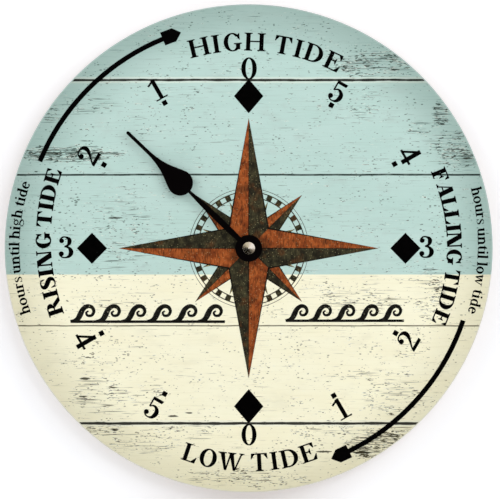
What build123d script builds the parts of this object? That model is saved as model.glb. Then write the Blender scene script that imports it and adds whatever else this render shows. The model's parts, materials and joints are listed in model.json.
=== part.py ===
from build123d import *
import os
from math import atan2, cos, pi, radians, sin

# Tide clock for a wall: a printed round dial, one hand and a battery movement behind it.
# Millimetres. X runs to the right, Z up, and Y from the room to the wall.
# The origin is on the hand's axis, in the plane of the wall.
# A depth is a distance forward of the wall. An angle on the dial is in degrees, clockwise from
# the top. A phase is the direction of a wheel's first tooth, in radians, anticlockwise from +X.

# Clearances
running_clearance = 0.05
assembly_clearance = 0.1
end_float = 0.05
cut_overrun = 1.0

# Dial
dial_diameter = 300.0
board_thickness = 6.0
board_edge_round = 0.6
board_hole_clearance = 0.15
sheet_thickness = 0.3
sheet_margin = 0.7
ink_thickness = 0.1

# Printed marks
upright_diamond_width = 18.0
upright_diamond_height = 21.1
side_diamond_width = 18.6
side_diamond_height = 19.1
top_diamond_radius = 93.5
bottom_diamond_radius = 97.1
side_diamond_radius = 96.3
square_side = 3.0
square_radius = 103.5
square_angles = (30.0, 60.0, 120.0, 150.0, 210.0, 240.0, 300.0, 330.0)
square_radius_shares = (0.981, 1.0, 1.007, 1.01, 0.998, 1.009, 0.992, 0.997)
arrow_edge_inset = 11.0
arrow_width = 3.0
arrow_head_width = 8.5
arrow_head_straight = 7.4
arrow_head_point = 4.6
arrow_starts = (292.6, 108.6)
arrow_span = 50.0

# Hand: half widths at distances from its axis
hand_thickness = 0.6
hand_angle = 313.7
hub_radius = 8.25
stem_root_half_width = 1.55
stem_root_distance = 8.0
stem_swell_half_width = 1.88
stem_swell_distance = 28.0
stem_neck_half_width = 0.95
stem_neck_distance = 49.0
bulb_radius = 7.85
bulb_distance = 58.1
bulb_shoulder_angle = 20.0
bulb_waist_half_width = 3.4
bulb_waist_distance = 70.7
bulb_end_half_width = 1.42
bulb_end_distance = 79.9
needle_half_width = 1.07
needle_distance = 87.0
tip_half_width = 1.03
tip_distance = 103.4

# Cap nut
cap_radius = 3.85
cap_rim_height = 0.9
cap_cone_height = 2.5
cap_apex_radius = 0.25
cap_bore_depth = 2.4

# Tide arbor
arbor_radius = 2.0
arbor_hub_radius = 1.6
arbor_flat_half_width = 1.3
arbor_tip_radius = 1.4
arbor_tip_length = 2.2
hand_gap = 0.8

# Threaded bushing, nut and washers
bushing_radius = 4.0
bushing_root_radius = 3.65
bushing_flange_radius = 5.5
bushing_flange_thickness = 1.0
bushing_projection = 0.9
thread_pitch = 0.75
nut_across_flats = 11.0
nut_thickness = 2.5
washer_radius = 6.6
washer_thickness = 0.5
gasket_radius = 14.0
gasket_thickness = 1.0

# Hanger plate
hanger_thickness = 0.8
hanger_half_width = 15.0
hanger_corner = 3.0
hanger_bottom = -15.0
hanger_top_margin = 5.5
hanger_crank_start = 29.0
hanger_crank_end = 34.0
hanger_setback = 6.0
keyhole_height = 41.0
keyhole_radius = 4.5
keyhole_slot_half_width = 2.2
keyhole_slot_rise = 6.5

# Movement case
case_side = 56.0
case_corner = 3.0
wall = 1.2
front_wall = 1.0
back_cover_thickness = 1.2
divider_top = -11.2
divider_thickness = 1.0
finger_notch_half_width = 8.0
finger_notch_depth = 7.0
post_radius = 2.0
post_inset = 2.6
post_rise = 3.7
boss_radius = 1.3
screw_boss_radius = 1.8
stud_radius = 0.75
tab_width = 5.0
tab_thickness = 0.8
tab_reach = 3.3
tab_nub = 0.5
tab_nub_height = 0.8
tab_top_x = 12.0
tab_side_z = 14.0
tab_gap = 0.1

# Bridge plate and its screws
bridge_back = 4.8
bridge_thickness = 1.0
bridge_gap = 0.4
bridge_corner = 1.5
screw_radius = 1.0
screw_head_radius = 1.8
screw_head_height = 0.9
screw_length = 6.0
screw_slot_width = 0.4
screw_slot_depth = 0.4

# Gear train: tooth counts, from the rotor to the hand
rotor_teeth = 8
train_pinion_teeth = 8
first_teeth = 45
second_teeth = 47
third_teeth = 52
centre_teeth = 61
clutch_teeth = 12
motion_teeth = 39
motion_pinion_teeth = 10
tide_teeth = 42

# Gear train: sizes and places
gear_module = 0.3
wheel_thickness = 0.8
level_pitch = 1.2
first_level_gap = 0.6
centre_to_third_direction = 20.0
third_to_second_direction = 60.0
second_to_first_direction = 150.0
first_to_rotor_direction = 170.0
arbor_shaft_radius = 0.6
pivot_radius = 0.35
wheel_hole_count = 5
wheel_hole_radius_share = 0.22
wheel_hole_place_share = 0.58

# Tooth shape, as shares of the module and of the angle between two teeth
wheel_addendum_share = 0.9
wheel_dedendum_share = 1.1
wheel_root_half_share = 0.26
wheel_tip_half_share = 0.1
leaf_addendum_share = 0.8
leaf_dedendum_share = 1.2
leaf_root_half_share = 0.2
leaf_tip_half_share = 0.09

# Slip clutch
clutch_arbor_radius = 1.0
clutch_collar_radius = 1.7
clutch_collar_height = 0.8
clutch_pivot_radius = 0.55
clutch_pivot_length = 1.4
clutch_recess_length = 1.6
clutch_spring_radius = 2.6
clutch_spring_thickness = 0.3
clutch_spring_arms = 3
clutch_spring_arm_half_width = 0.5
clutch_spring_ring_radius = 1.6
motion_bore_radius = 0.8
tide_hub_radius = 3.2
tide_hub_height = 0.75

# Stepping motor
magnet_radius = 3.0
magnet_thickness = 2.4
stator_hole_radius = 3.5
stator_ring_radius = 5.4
stator_thickness = 0.8
stator_leg_half_width = 1.6
coil_height = 11.4
core_side_inset = 2.4
core_right = 4.4
core_half_width = 1.2
core_thickness = 0.8
core_screw_inset = 1.8
coil_inset = 4.0
coil_right = -6.0
bobbin_flange_radius = 3.1
bobbin_flange_thickness = 0.7
bobbin_tube_radius = 1.7
winding_radius = 2.9
motor_screw_radius = 0.8
motor_screw_head_radius = 1.3
motor_screw_head_height = 0.6
motor_screw_length = 3.0
lead_radius = 0.15
lead_reach = 1.6
lead_half_spacing = 1.9

# Circuit board
board_left = 3.0
board_side_inset = 5.8
board_low = 5.0
board_high = 22.0
circuit_thickness = 0.8
stake_radius = 0.7
stake_inset = 1.6
stake_rise = 0.3
crystal_radius = 1.0
crystal_length = 6.0
crystal_x = 7.0
crystal_z = 19.0
crystal_lead_length = 1.2
crystal_lead_radius = 0.15
crystal_lead_spacing = 0.7
chip_radius = 2.6
chip_height = 0.9
chip_round = 0.6
chip_side_inset = 5.5
chip_z = 14.0

# Battery cell and its contacts
cell_radius = 7.1
cell_length = 49.1
cell_nub_radius = 2.7
cell_nub_length = 1.1
cell_edge_round = 0.6
cell_clearance = 0.2
cell_end_gap = 0.1
cell_rear_inset = 0.6
contact_thickness = 0.4
contact_half_width = 5.5
contact_half_height = 6.4
contact_tail_width = 1.2
contact_tail_notch = 3.4
positive_arm_height = 8.0
positive_arm_reach = 6.6
negative_strip_inset = 9.6
negative_strip_rise = 1.4
leaf_bow = 2.4
leaf_thickness = 0.3
leaf_half_width = 2.5
leaf_half_height = 6.0

# Setting knob
knob_radius = 6.6
knob_recess = 0.5
knob_thickness = 2.4
knob_notch_count = 16
knob_notch_radius = 0.6
knob_shaft_radius = 1.2
knob_pivot_radius = 0.8
knob_pivot_reach = 1.0
well_radius = 7.2
well_wall = 0.8
well_floor_gap = 0.3
well_floor = 1.0


# Levels of the gear train, counted from the bridge plate
first_level = 0
second_level = 1
third_level = 2
centre_level = 3
motion_level = 4
tide_level = 5
bridge_front = bridge_back + bridge_thickness


def level_back(level):
    """Rear depth of a level of the gear train."""
    return bridge_front + first_level_gap + level * level_pitch


# The case is as deep as its gear train and its cell need
train_front = level_back(tide_level) + wheel_thickness + tide_hub_height + end_float
train_depth = train_front + bushing_flange_thickness + front_wall
bay_depth = cell_rear_inset + 2 * cell_radius + cell_clearance + front_wall
case_depth = max(train_depth, bay_depth)

# Depths of the stack, from the wall to the room
hanger_back = case_depth
hanger_front = hanger_back + hanger_thickness
board_back = hanger_front + gasket_thickness
board_front = board_back + board_thickness
sheet_front = board_front + sheet_thickness
washer_front = sheet_front + washer_thickness
nut_front = washer_front + nut_thickness
bushing_front = nut_front + bushing_projection
hand_back = bushing_front + hand_gap
hand_front = hand_back + hand_thickness
front_inner = case_depth - front_wall
flange_back = front_inner - bushing_flange_thickness
circuit_back = bridge_back - circuit_thickness
tail_back = circuit_back - contact_tail_width

# The hanger plate ends above the slot of its keyhole
hanger_top = keyhole_height + keyhole_slot_rise + hanger_top_margin

# Inner faces of the case
case_half = case_side / 2
inner_half = case_half - wall
divider_bottom = divider_top - divider_thickness

# The bay below the divider is as high as the cell, and as long as the cell with its contacts
bay_low = divider_bottom - 2 * (cell_radius + cell_clearance)
bay_right = inner_half
cell_right = bay_right - contact_thickness - cell_end_gap
cell_left = cell_right - cell_nub_length - cell_length
leaf_root = cell_left - cell_end_gap - leaf_bow
bay_left = leaf_root - contact_thickness
cell_height = (divider_bottom + bay_low) / 2
cell_depth = front_inner - cell_clearance - cell_radius

# Places that follow the case's walls
post_x = inner_half - post_inset
post_top = inner_half - post_inset
post_bottom = divider_top + post_rise
core_left = core_side_inset - inner_half
coil_left = core_left + coil_inset
board_right = inner_half - board_side_inset
chip_x = board_right - chip_side_inset
negative_strip_x = board_right - negative_strip_inset

# The curved arrows follow the dial's edge
arrow_radius = dial_diameter / 2 - arrow_edge_inset

# The motion wheel turns the tide wheel at the same centre distance as the clutch pinion turns it
motion_distance = gear_module * (clutch_teeth + motion_teeth) / 2
tide_module = 2 * motion_distance / (motion_pinion_teeth + tide_teeth)


def step_away(start, distance, direction):
    """Point at a distance from another, in a direction in degrees anticlockwise from +X."""
    angle = radians(direction)
    return (start[0] + distance * cos(angle), start[1] + distance * sin(angle))


def meshed_axis(start, teeth, other_teeth, direction):
    """Axis of a wheel that meshes with one on another axis, in a direction from it."""
    return step_away(start, gear_module * (teeth + other_teeth) / 2, direction)


# Axes of the movement, as X and Z
hand_axis = (0.0, 0.0)
third_axis = meshed_axis(hand_axis, centre_teeth, train_pinion_teeth, centre_to_third_direction)
second_axis = meshed_axis(third_axis, third_teeth, train_pinion_teeth, third_to_second_direction)
first_axis = meshed_axis(second_axis, second_teeth, train_pinion_teeth, second_to_first_direction)
rotor_axis = meshed_axis(first_axis, first_teeth, rotor_teeth, first_to_rotor_direction)
motion_axis = (hand_axis[0] - motion_distance, hand_axis[1])
knob_axis = (motion_axis[0] - motion_distance, motion_axis[1])
post_places = [(x, z) for x in (-post_x, post_x) for z in (post_bottom, post_top)]
motor_screw_places = [(core_left + core_screw_inset, coil_height)]
motor_screw_places.append((core_right - core_screw_inset, coil_height))


def front_plane(depth):
    """Plane parallel to the dial, facing the room, with X right and Z up."""
    return Plane.XZ.offset(depth)


def slab(outline, back, front):
    """Solid of a front-view outline between two depths."""
    return extrude(front_plane(back) * outline, amount=front - back)


def rod(radius, back, front, at=hand_axis):
    return slab(Pos(at[0], at[1]) * Circle(radius), back, front)


def through_bore(radius, back, front, at=hand_axis):
    """Cutting rod that runs past both depths."""
    return rod(radius, back - cut_overrun, front + cut_overrun, at)


def blind_bore(radius, mouth, floor, at=hand_axis):
    """Cutting rod from behind a mouth to a floor in front of it."""
    return rod(radius, mouth - cut_overrun, floor, at)


def stepped_rod(at, *steps):
    """Rods on one axis, each given as radius, back and front."""
    solid = rod(*steps[0], at)
    for step in steps[1:]:
        solid += rod(*step, at)
    return solid


def sideways_rod(radius, length, left_end, depth):
    """Rod along +X from the middle of its left end."""
    plane = Plane(origin=(left_end[0], -depth, left_end[1]), x_dir=(0, 1, 0), z_dir=(1, 0, 0))
    return extrude(plane * Circle(radius), amount=length)


def block(left, right, low, high, back, front):
    outline = Pos((left + right) / 2, (low + high) / 2) * Rectangle(right - left, high - low)
    return slab(outline, back, front)


def turned(points, at=hand_axis):
    """Solid of revolution about an axis along Y, from points given as radius and depth."""
    profile_plane = Plane(origin=(0, 0, 0), x_dir=(1, 0, 0), z_dir=(0, 0, -1))
    profile = make_face(profile_plane * Polyline(*points, close=True))
    return Pos(at[0], 0, at[1]) * revolve(profile, axis=Axis.Y)


def dial_point(radius, angle):
    """Point on the dial at an angle clockwise from the top."""
    return (radius * sin(radians(angle)), radius * cos(radians(angle)))


def gear_outline(teeth, module, is_leaf, phase):
    """Outline of straight-sided teeth, with slimmer leaves on a pinion."""
    pitch_radius = teeth * module / 2
    if is_leaf:
        root_radius = pitch_radius - leaf_dedendum_share * module
        tip_radius = pitch_radius + leaf_addendum_share * module
        root_half, tip_half = leaf_root_half_share, leaf_tip_half_share
    else:
        root_radius = pitch_radius - wheel_dedendum_share * module
        tip_radius = pitch_radius + wheel_addendum_share * module
        root_half, tip_half = wheel_root_half_share, wheel_tip_half_share
    tooth_angle = 2 * pi / teeth
    rising_flank = ((root_radius, -root_half), (tip_radius, -tip_half))
    falling_flank = ((tip_radius, tip_half), (root_radius, root_half))
    points = []
    for tooth in range(teeth):
        for radius, share in (*rising_flank, *falling_flank):
            angle = phase + (tooth + share) * tooth_angle
            points.append((radius * cos(angle), radius * sin(angle)))
    return make_face(Polyline(*points, close=True))


def meshed_phase(phase, teeth, axis, other_teeth, other_axis):
    """Phase of a wheel on other_axis whose gap meets the given wheel's tooth."""
    direction = atan2(other_axis[1] - axis[1], other_axis[0] - axis[0])
    turned_teeth = (direction - phase) * teeth / (2 * pi)
    return direction + pi - (1 / 2 - turned_teeth) * 2 * pi / other_teeth


# Phases that bring each pair into mesh at rest, from the rotor on and from the tide wheel on
rotor_phase = 0.0
first_phase = meshed_phase(rotor_phase, rotor_teeth, rotor_axis, first_teeth, first_axis)
second_phase = meshed_phase(first_phase, train_pinion_teeth, first_axis, second_teeth, second_axis)
third_phase = meshed_phase(second_phase, train_pinion_teeth, second_axis, third_teeth, third_axis)
centre_phase = meshed_phase(third_phase, train_pinion_teeth, third_axis, centre_teeth, hand_axis)
tide_phase = 0.0
motion_phase = meshed_phase(tide_phase, tide_teeth, hand_axis, motion_pinion_teeth, motion_axis)
clutch_phase = meshed_phase(motion_phase, motion_teeth, motion_axis, clutch_teeth, hand_axis)
setting_phase = meshed_phase(motion_phase, motion_teeth, motion_axis, clutch_teeth, knob_axis)


def wheel(teeth, module, phase, at, level):
    """Toothed wheel with round lightening holes."""
    outline = gear_outline(teeth, module, False, phase)
    pitch_radius = teeth * module / 2
    for hole in PolarLocations(wheel_hole_place_share * pitch_radius, wheel_hole_count):
        outline -= hole * Circle(wheel_hole_radius_share * pitch_radius)
    back = level_back(level)
    return slab(Pos(at[0], at[1]) * outline, back, back + wheel_thickness)


def pinion(teeth, module, phase, at, back, front):
    return slab(Pos(at[0], at[1]) * gear_outline(teeth, module, True, phase), back, front)


def dial_board():
    """Round board, with its front edge slightly rounded and a hole for the bushing."""
    board = rod(dial_diameter / 2, board_back, board_front)
    front_edge = board.edges().sort_by(Axis.Y)[0]
    board = fillet(front_edge, board_edge_round)
    return board - through_bore(bushing_radius + board_hole_clearance, board_back, board_front)


def face_sheet():
    sheet = rod(dial_diameter / 2 - sheet_margin, board_front, sheet_front)
    return sheet - through_bore(bushing_radius + board_hole_clearance, board_front, sheet_front)


def arrow_outline(start):
    """Curved arrow that runs clockwise round the dial from an angle."""
    head_straight_angle = arrow_head_straight / arrow_radius * 180 / pi
    head_point_angle = arrow_head_point / arrow_radius * 180 / pi
    tip = start + arrow_span
    shoulder = tip - head_point_angle
    base = shoulder - head_straight_angle
    middle = (start + base) / 2
    inner = arrow_radius - arrow_width / 2
    outer = arrow_radius + arrow_width / 2
    head_inner = arrow_radius - arrow_head_width / 2
    head_outer = arrow_radius + arrow_head_width / 2
    head = Polyline(
        dial_point(outer, base),
        dial_point(head_outer, base),
        dial_point(head_outer, shoulder),
        dial_point(arrow_radius, tip),
        dial_point(head_inner, shoulder),
        dial_point(head_inner, base),
        dial_point(inner, base),
    )
    shaft_outer = ThreePointArc(*[dial_point(outer, angle) for angle in (start, middle, base)])
    shaft_inner = ThreePointArc(*[dial_point(inner, angle) for angle in (base, middle, start)])
    tail = Line(dial_point(inner, start), dial_point(outer, start))
    return make_face([shaft_outer, *head.edges(), shaft_inner, tail])


def diamond_outline(width, height):
    top = (0, height / 2)
    right = (width / 2, 0)
    bottom = (0, -height / 2)
    left = (-width / 2, 0)
    return make_face(Polyline(top, right, bottom, left, close=True))


def dial_marks():
    """Diamonds at the quarters, small squares between them and two curved arrows, in ink."""
    outlines = [
        Pos(0, top_diamond_radius) * diamond_outline(upright_diamond_width, upright_diamond_height),
        Pos(0, -bottom_diamond_radius) * diamond_outline(upright_diamond_width, upright_diamond_height),
        Pos(side_diamond_radius, 0) * diamond_outline(side_diamond_width, side_diamond_height),
        Pos(-side_diamond_radius, 0) * diamond_outline(side_diamond_width, side_diamond_height),
    ]
    for angle, share in zip(square_angles, square_radius_shares):
        place = Rot(0, 0, -angle) * Pos(0, share * square_radius)
        outlines.append(place * Rectangle(square_side, square_side))
    for start in arrow_starts:
        outlines.append(arrow_outline(start))
    return [slab(outline, sheet_front, sheet_front + ink_thickness) for outline in outlines]


def hand_outline():
    """Pear-shaped hand pointing up: a stem that swells, a round bulb and a needle."""
    shoulder_x = bulb_radius * cos(radians(bulb_shoulder_angle))
    shoulder_z = bulb_distance + bulb_radius * sin(radians(bulb_shoulder_angle))
    slope_x = -sin(radians(bulb_shoulder_angle))
    slope_z = cos(radians(bulb_shoulder_angle))
    neck_drop = (bulb_radius ** 2 - stem_neck_half_width ** 2) ** (1 / 2)
    neck_end = (stem_neck_half_width, bulb_distance - neck_drop)
    stem = Spline(
        (stem_root_half_width, stem_root_distance),
        (stem_swell_half_width, stem_swell_distance),
        (stem_neck_half_width, stem_neck_distance),
    )
    neck = Line(stem @ 1, neck_end)
    bulb = ThreePointArc(neck_end, (bulb_radius, bulb_distance), (shoulder_x, shoulder_z))
    taper = Spline(
        (shoulder_x, shoulder_z),
        (bulb_waist_half_width, bulb_waist_distance),
        (bulb_end_half_width, bulb_end_distance),
        (needle_half_width, needle_distance),
        tangents=((slope_x, slope_z), (0, 1)),
    )
    needle = Line(taper @ 1, (tip_half_width, tip_distance - tip_half_width))
    tip = ThreePointArc(needle @ 1, (0, tip_distance), (-tip_half_width, tip_distance - tip_half_width))
    right_side = [stem, neck, bulb, taper, needle]
    left_side = [mirror(edge, about=Plane.YZ) for edge in right_side]
    root = Line((-stem_root_half_width, stem_root_distance), (stem_root_half_width, stem_root_distance))
    return make_face([*right_side, tip, *left_side, root])


def arbor_flats(clearance):
    """Round section with two flats, which turns the hand with the arbor."""
    flat_half_width = arbor_flat_half_width + clearance
    width = 2 * flat_half_width
    return Circle(arbor_hub_radius + clearance) & Rectangle(width, 2 * arbor_radius)


def tide_hand():
    outline = (hand_outline() + Circle(hub_radius)) - arbor_flats(running_clearance)
    return slab(Rot(0, 0, -hand_angle) * outline, hand_back, hand_front)


def cap_nut():
    """Conical cap that holds the hand on the arbor, with a blind bore."""
    rim = hand_front + cap_rim_height
    apex = rim + cap_cone_height
    points = (
        (0, hand_front + cap_bore_depth),
        (arbor_tip_radius + running_clearance, hand_front + cap_bore_depth),
        (arbor_tip_radius + running_clearance, hand_front),
        (cap_radius, hand_front),
        (cap_radius, rim),
        (cap_apex_radius, apex),
        (0, apex),
    )
    return turned(points)


def tide_arbor():
    """Arbor through the bushing, with flats for the hand and a recess for the clutch pivot."""
    back = level_back(tide_level)
    arbor = rod(arbor_radius, back, hand_back)
    arbor += slab(Rot(0, 0, -hand_angle) * arbor_flats(0), hand_back, hand_front)
    arbor += rod(arbor_tip_radius, hand_front, hand_front + arbor_tip_length)
    recess_radius = clutch_pivot_radius + running_clearance
    return arbor - blind_bore(recess_radius, back, back + clutch_recess_length)


def tide_wheel():
    """Wheel pressed on the arbor, with a hub that runs against the bushing's flange."""
    disc = wheel(tide_teeth, tide_module, tide_phase, hand_axis, tide_level)
    disc_back = level_back(tide_level)
    disc += rod(tide_hub_radius, disc_back + wheel_thickness, flange_back - end_float)
    return disc - through_bore(arbor_radius, disc_back, flange_back)


def threaded_bushing():
    """Flanged bushing with ringed thread crests where the nut sits."""
    bore = arbor_radius + running_clearance
    points = [
        (bore, flange_back),
        (bushing_flange_radius, flange_back),
        (bushing_flange_radius, front_inner),
        (bushing_radius, front_inner),
    ]
    crest_count = int((bushing_front - sheet_front) / thread_pitch)
    thread_start = bushing_front - crest_count * thread_pitch
    for crest in range(crest_count):
        crest_back = thread_start + crest * thread_pitch
        points.append((bushing_radius, crest_back))
        points.append((bushing_root_radius, crest_back + thread_pitch / 2))
    points.append((bushing_radius, bushing_front))
    points.append((bore, bushing_front))
    return turned(points)


def ring(outer, inner, back, front):
    return rod(outer, back, front) - through_bore(inner, back, front)


def rubber_gasket():
    return ring(gasket_radius, bushing_radius + assembly_clearance, hanger_front, board_back)


def flat_washer():
    return ring(washer_radius, bushing_radius + assembly_clearance, sheet_front, washer_front)


def hex_nut():
    outline = RegularPolygon(nut_across_flats / 2, 6, major_radius=False)
    return slab(outline - Circle(bushing_radius + running_clearance), washer_front, nut_front)


def hanger_plate():
    """Cranked steel plate with a keyhole, clamped behind the board."""
    setback_front = hanger_front - hanger_setback
    setback_back = hanger_back - hanger_setback
    crank_end = hanger_crank_end
    profile = Polyline(
        (-hanger_back, hanger_bottom),
        (-hanger_back, hanger_crank_start),
        (-setback_back, crank_end),
        (-setback_back, hanger_top),
        (-setback_front, hanger_top),
        (-setback_front, crank_end),
        (-hanger_front, hanger_crank_start),
        (-hanger_front, hanger_bottom),
        close=True,
    )
    strip = extrude(Plane.YZ * make_face(profile), amount=hanger_half_width, both=True)
    middle = (hanger_top + hanger_bottom) / 2
    height = hanger_top - hanger_bottom
    rounded = Pos(0, middle) * RectangleRounded(2 * hanger_half_width, height, hanger_corner)
    plate = strip & slab(rounded, setback_back - cut_overrun, hanger_front + cut_overrun)
    plate -= through_bore(bushing_radius + assembly_clearance, hanger_back, hanger_front)
    slot_end = keyhole_height + keyhole_slot_rise
    keyhole = Pos(0, keyhole_height) * Circle(keyhole_radius)
    keyhole += Pos(0, slot_end) * Circle(keyhole_slot_half_width)
    slot = Rectangle(2 * keyhole_slot_half_width, keyhole_slot_rise)
    keyhole += Pos(0, (keyhole_height + slot_end) / 2) * slot
    return plate - slab(keyhole, setback_back - cut_overrun, setback_front + cut_overrun)


def tab_places():
    """Snap tabs of the case's back: place on the wall's inner face and turn of its outward normal."""
    return [
        ((-tab_top_x, inner_half), 0.0),
        ((tab_top_x, inner_half), 0.0),
        ((inner_half, tab_side_z), -90.0),
        ((-inner_half, tab_side_z), 90.0),
    ]


def place_on_wall(place, turn, outline):
    """Outline drawn below a wall that faces +Z, moved to a place on a wall."""
    return Pos(place[0], place[1]) * Rot(0, 0, turn) * outline


def movement_case():
    """Shell with a gear chamber above and a battery bay below, both open to the rear."""
    outline = RectangleRounded(case_side, case_side, case_corner)
    bay_width = bay_right - bay_left + 2 * wall
    bay_height = divider_top - bay_low + wall
    bay_middle = Pos((bay_left + bay_right) / 2, divider_top - bay_height / 2)
    outline += bay_middle * RectangleRounded(bay_width, bay_height, case_corner)
    shell = slab(outline, 0, case_depth)
    shell -= block(-inner_half, inner_half, divider_top, inner_half, -cut_overrun, front_inner)
    bay_end = min(bay_left, -inner_half)
    shell -= block(bay_end, bay_right, bay_low, divider_bottom, -cut_overrun, front_inner)
    rib_high = divider_bottom - contact_thickness - assembly_clearance
    bay_wall = block(bay_left - wall, bay_left, bay_low, rib_high, 0, front_inner)
    shell += bay_wall & slab(outline, 0, case_depth)
    rim = case_half + cut_overrun
    shell -= block(-rim, rim, divider_bottom, rim, -cut_overrun, back_cover_thickness)
    notch = finger_notch_half_width
    notch_low = min(bay_low - wall, -case_half) - cut_overrun
    shell -= block(-notch, notch, notch_low, bay_low + cut_overrun, -cut_overrun, finger_notch_depth)
    shell -= through_bore(bushing_radius + running_clearance, front_inner, case_depth)
    notch_inner = inner_half - contact_thickness - assembly_clearance
    notch_front = back_cover_thickness + contact_tail_notch
    for left, right in ((-inner_half, -notch_inner), (notch_inner, inner_half)):
        shell -= block(left, right, divider_bottom - cut_overrun, divider_top + cut_overrun, 0, notch_front)
    slot_back = back_cover_thickness + tab_reach - tab_nub_height - tab_gap
    slot_front = back_cover_thickness + tab_reach + tab_gap
    slot = Rectangle(tab_width + 2 * tab_gap, 2 * (tab_nub + tab_gap))
    for place, turn in tab_places():
        shell -= slab(place_on_wall(place, turn, slot), slot_back, slot_front)
    for place in post_places:
        post = rod(post_radius, bridge_front, front_inner, place)
        shell += post - blind_bore(screw_radius, bridge_front, bridge_back + screw_length, place)
    for place, back in boss_places():
        boss = rod(boss_radius, back, front_inner, place)
        shell += boss - blind_bore(pivot_radius + running_clearance, back, front_inner - end_float, place)
    for place in motor_screw_places:
        boss = rod(screw_boss_radius, stator_front, front_inner, place)
        shell += boss - blind_bore(motor_screw_radius, stator_front, core_back + motor_screw_length, place)
    knob_boss_back = level_back(motion_level) + wheel_thickness + first_level_gap
    knob_boss = rod(screw_boss_radius, knob_boss_back, front_inner, knob_axis)
    knob_bore = knob_pivot_radius + running_clearance
    shell += knob_boss - blind_bore(knob_bore, knob_boss_back, front_inner - end_float, knob_axis)
    shell += rod(stud_radius, level_back(motion_level), front_inner, motion_axis)
    return shell


# The stator lies in front of the coil's core, on the screw bosses
stator_back = level_back(centre_level) + wheel_thickness + core_thickness
stator_front = stator_back + stator_thickness
core_back = stator_back - core_thickness
coil_depth = (core_back + stator_back) / 2
magnet_back = (stator_back + stator_front) / 2 - magnet_thickness / 2
magnet_front = magnet_back + magnet_thickness


def boss_places():
    """Front bearing bosses of the train, each with the depth of its rear face."""
    above_pinion = wheel_thickness + first_level_gap
    return [
        (first_axis, level_back(second_level) + above_pinion),
        (second_axis, level_back(third_level) + above_pinion),
        (third_axis, level_back(centre_level) + above_pinion),
        (rotor_axis, magnet_front + first_level_gap),
    ]


def case_back():
    """Snap-on rear cover, with a well for the setting knob."""
    cover = slab(RectangleRounded(case_side, case_side, case_corner), 0, back_cover_thickness)
    rim = case_half + cut_overrun
    cover -= block(-rim, rim, -rim, divider_bottom, -cut_overrun, back_cover_thickness + cut_overrun)
    floor_back = knob_recess + knob_thickness + well_floor_gap
    floor_front = floor_back + well_floor
    cover += rod(well_radius + well_wall, back_cover_thickness, floor_front, knob_axis)
    cover -= rod(well_radius, -cut_overrun, floor_back, knob_axis)
    cover -= rod(knob_shaft_radius + running_clearance, 0, floor_front + cut_overrun, knob_axis)
    tab_end = back_cover_thickness + tab_reach
    tab = Pos(0, -tab_gap - tab_thickness / 2) * Rectangle(tab_width, tab_thickness)
    nub = Pos(0, tab_nub / 2 - tab_gap / 2) * Rectangle(tab_width, tab_nub + tab_gap)
    for place, turn in tab_places():
        cover += slab(place_on_wall(place, turn, tab), back_cover_thickness, tab_end)
        cover += slab(place_on_wall(place, turn, nub), tab_end - tab_nub_height, tab_end)
    return cover


def stake_places():
    return [
        (board_left + stake_inset, board_low + stake_inset),
        (board_right - stake_inset, board_high - stake_inset),
    ]


def lead_places():
    """Where the coil's two leads pass through the bridge plate."""
    lead_x = coil_right + lead_reach
    return [(lead_x, coil_height - lead_half_spacing), (lead_x, coil_height + lead_half_spacing)]


def bridge_plate():
    """Plate that carries the rear pivots, on four posts of the case."""
    half = inner_half - bridge_gap
    low = divider_top + bridge_gap
    outline = Pos(0, (half + low) / 2) * RectangleRounded(2 * half, half - low, bridge_corner)
    for place in post_places:
        outline -= Pos(*place) * Circle(screw_radius + running_clearance)
    for place in (first_axis, second_axis, third_axis, rotor_axis, hand_axis):
        outline -= Pos(*place) * Circle(pivot_radius + running_clearance)
    outline -= Pos(*knob_axis) * Circle(knob_shaft_radius + running_clearance)
    for place in lead_places():
        outline -= Pos(*place) * Circle(lead_radius + assembly_clearance)
    plate = slab(outline, bridge_back, bridge_front)
    for place in stake_places():
        plate += rod(stake_radius, circuit_back - stake_rise, bridge_back, place)
    return plate


def slotted_screw(at, seat, length, radius, head_radius, head_height):
    """Screw driven from the rear, with its head behind the seat's depth."""
    screw = stepped_rod(at, (head_radius, seat - head_height, seat), (radius, seat, seat + length))
    slot = Pos(*at) * Rectangle(2 * head_radius, screw_slot_width)
    return screw - slab(slot, seat - head_height - cut_overrun, seat - head_height + screw_slot_depth)


def bridge_screws():
    return [
        slotted_screw(place, bridge_back, screw_length, screw_radius, screw_head_radius, screw_head_height)
        for place in post_places
    ]


def motor_screws():
    head = (motor_screw_head_radius, motor_screw_head_height)
    return [
        slotted_screw(place, core_back, motor_screw_length, motor_screw_radius, *head)
        for place in motor_screw_places
    ]


def train_arbor(at, wheel_teeth, wheel_phase, wheel_level):
    """Wheel, pinion and arbor in one piece, with a pivot at each end."""
    piece = wheel(wheel_teeth, gear_module, wheel_phase, at, wheel_level)
    wheel_back = level_back(wheel_level)
    pinion_end = level_back(wheel_level + 1) + wheel_thickness
    pinion_back = wheel_back + wheel_thickness
    piece += pinion(train_pinion_teeth, gear_module, wheel_phase, at, pinion_back, pinion_end)
    boss_back = dict(boss_places())[at]
    piece += stepped_rod(
        at,
        (pivot_radius, bridge_back + end_float, boss_back + wheel_thickness),
        (arbor_shaft_radius, bridge_front + end_float, wheel_back),
        (arbor_shaft_radius, pinion_end, boss_back - end_float),
    )
    return piece


def first_wheel():
    return train_arbor(first_axis, first_teeth, first_phase, first_level)


def second_wheel():
    return train_arbor(second_axis, second_teeth, second_phase, second_level)


def third_wheel():
    return train_arbor(third_axis, third_teeth, third_phase, third_level)


def centre_wheel():
    """Wheel that drives the clutch pinion by friction, free on its arbor."""
    disc = wheel(centre_teeth, gear_module, centre_phase, hand_axis, centre_level)
    back = level_back(centre_level)
    return disc - through_bore(clutch_arbor_radius + running_clearance, back, back + wheel_thickness)


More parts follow.
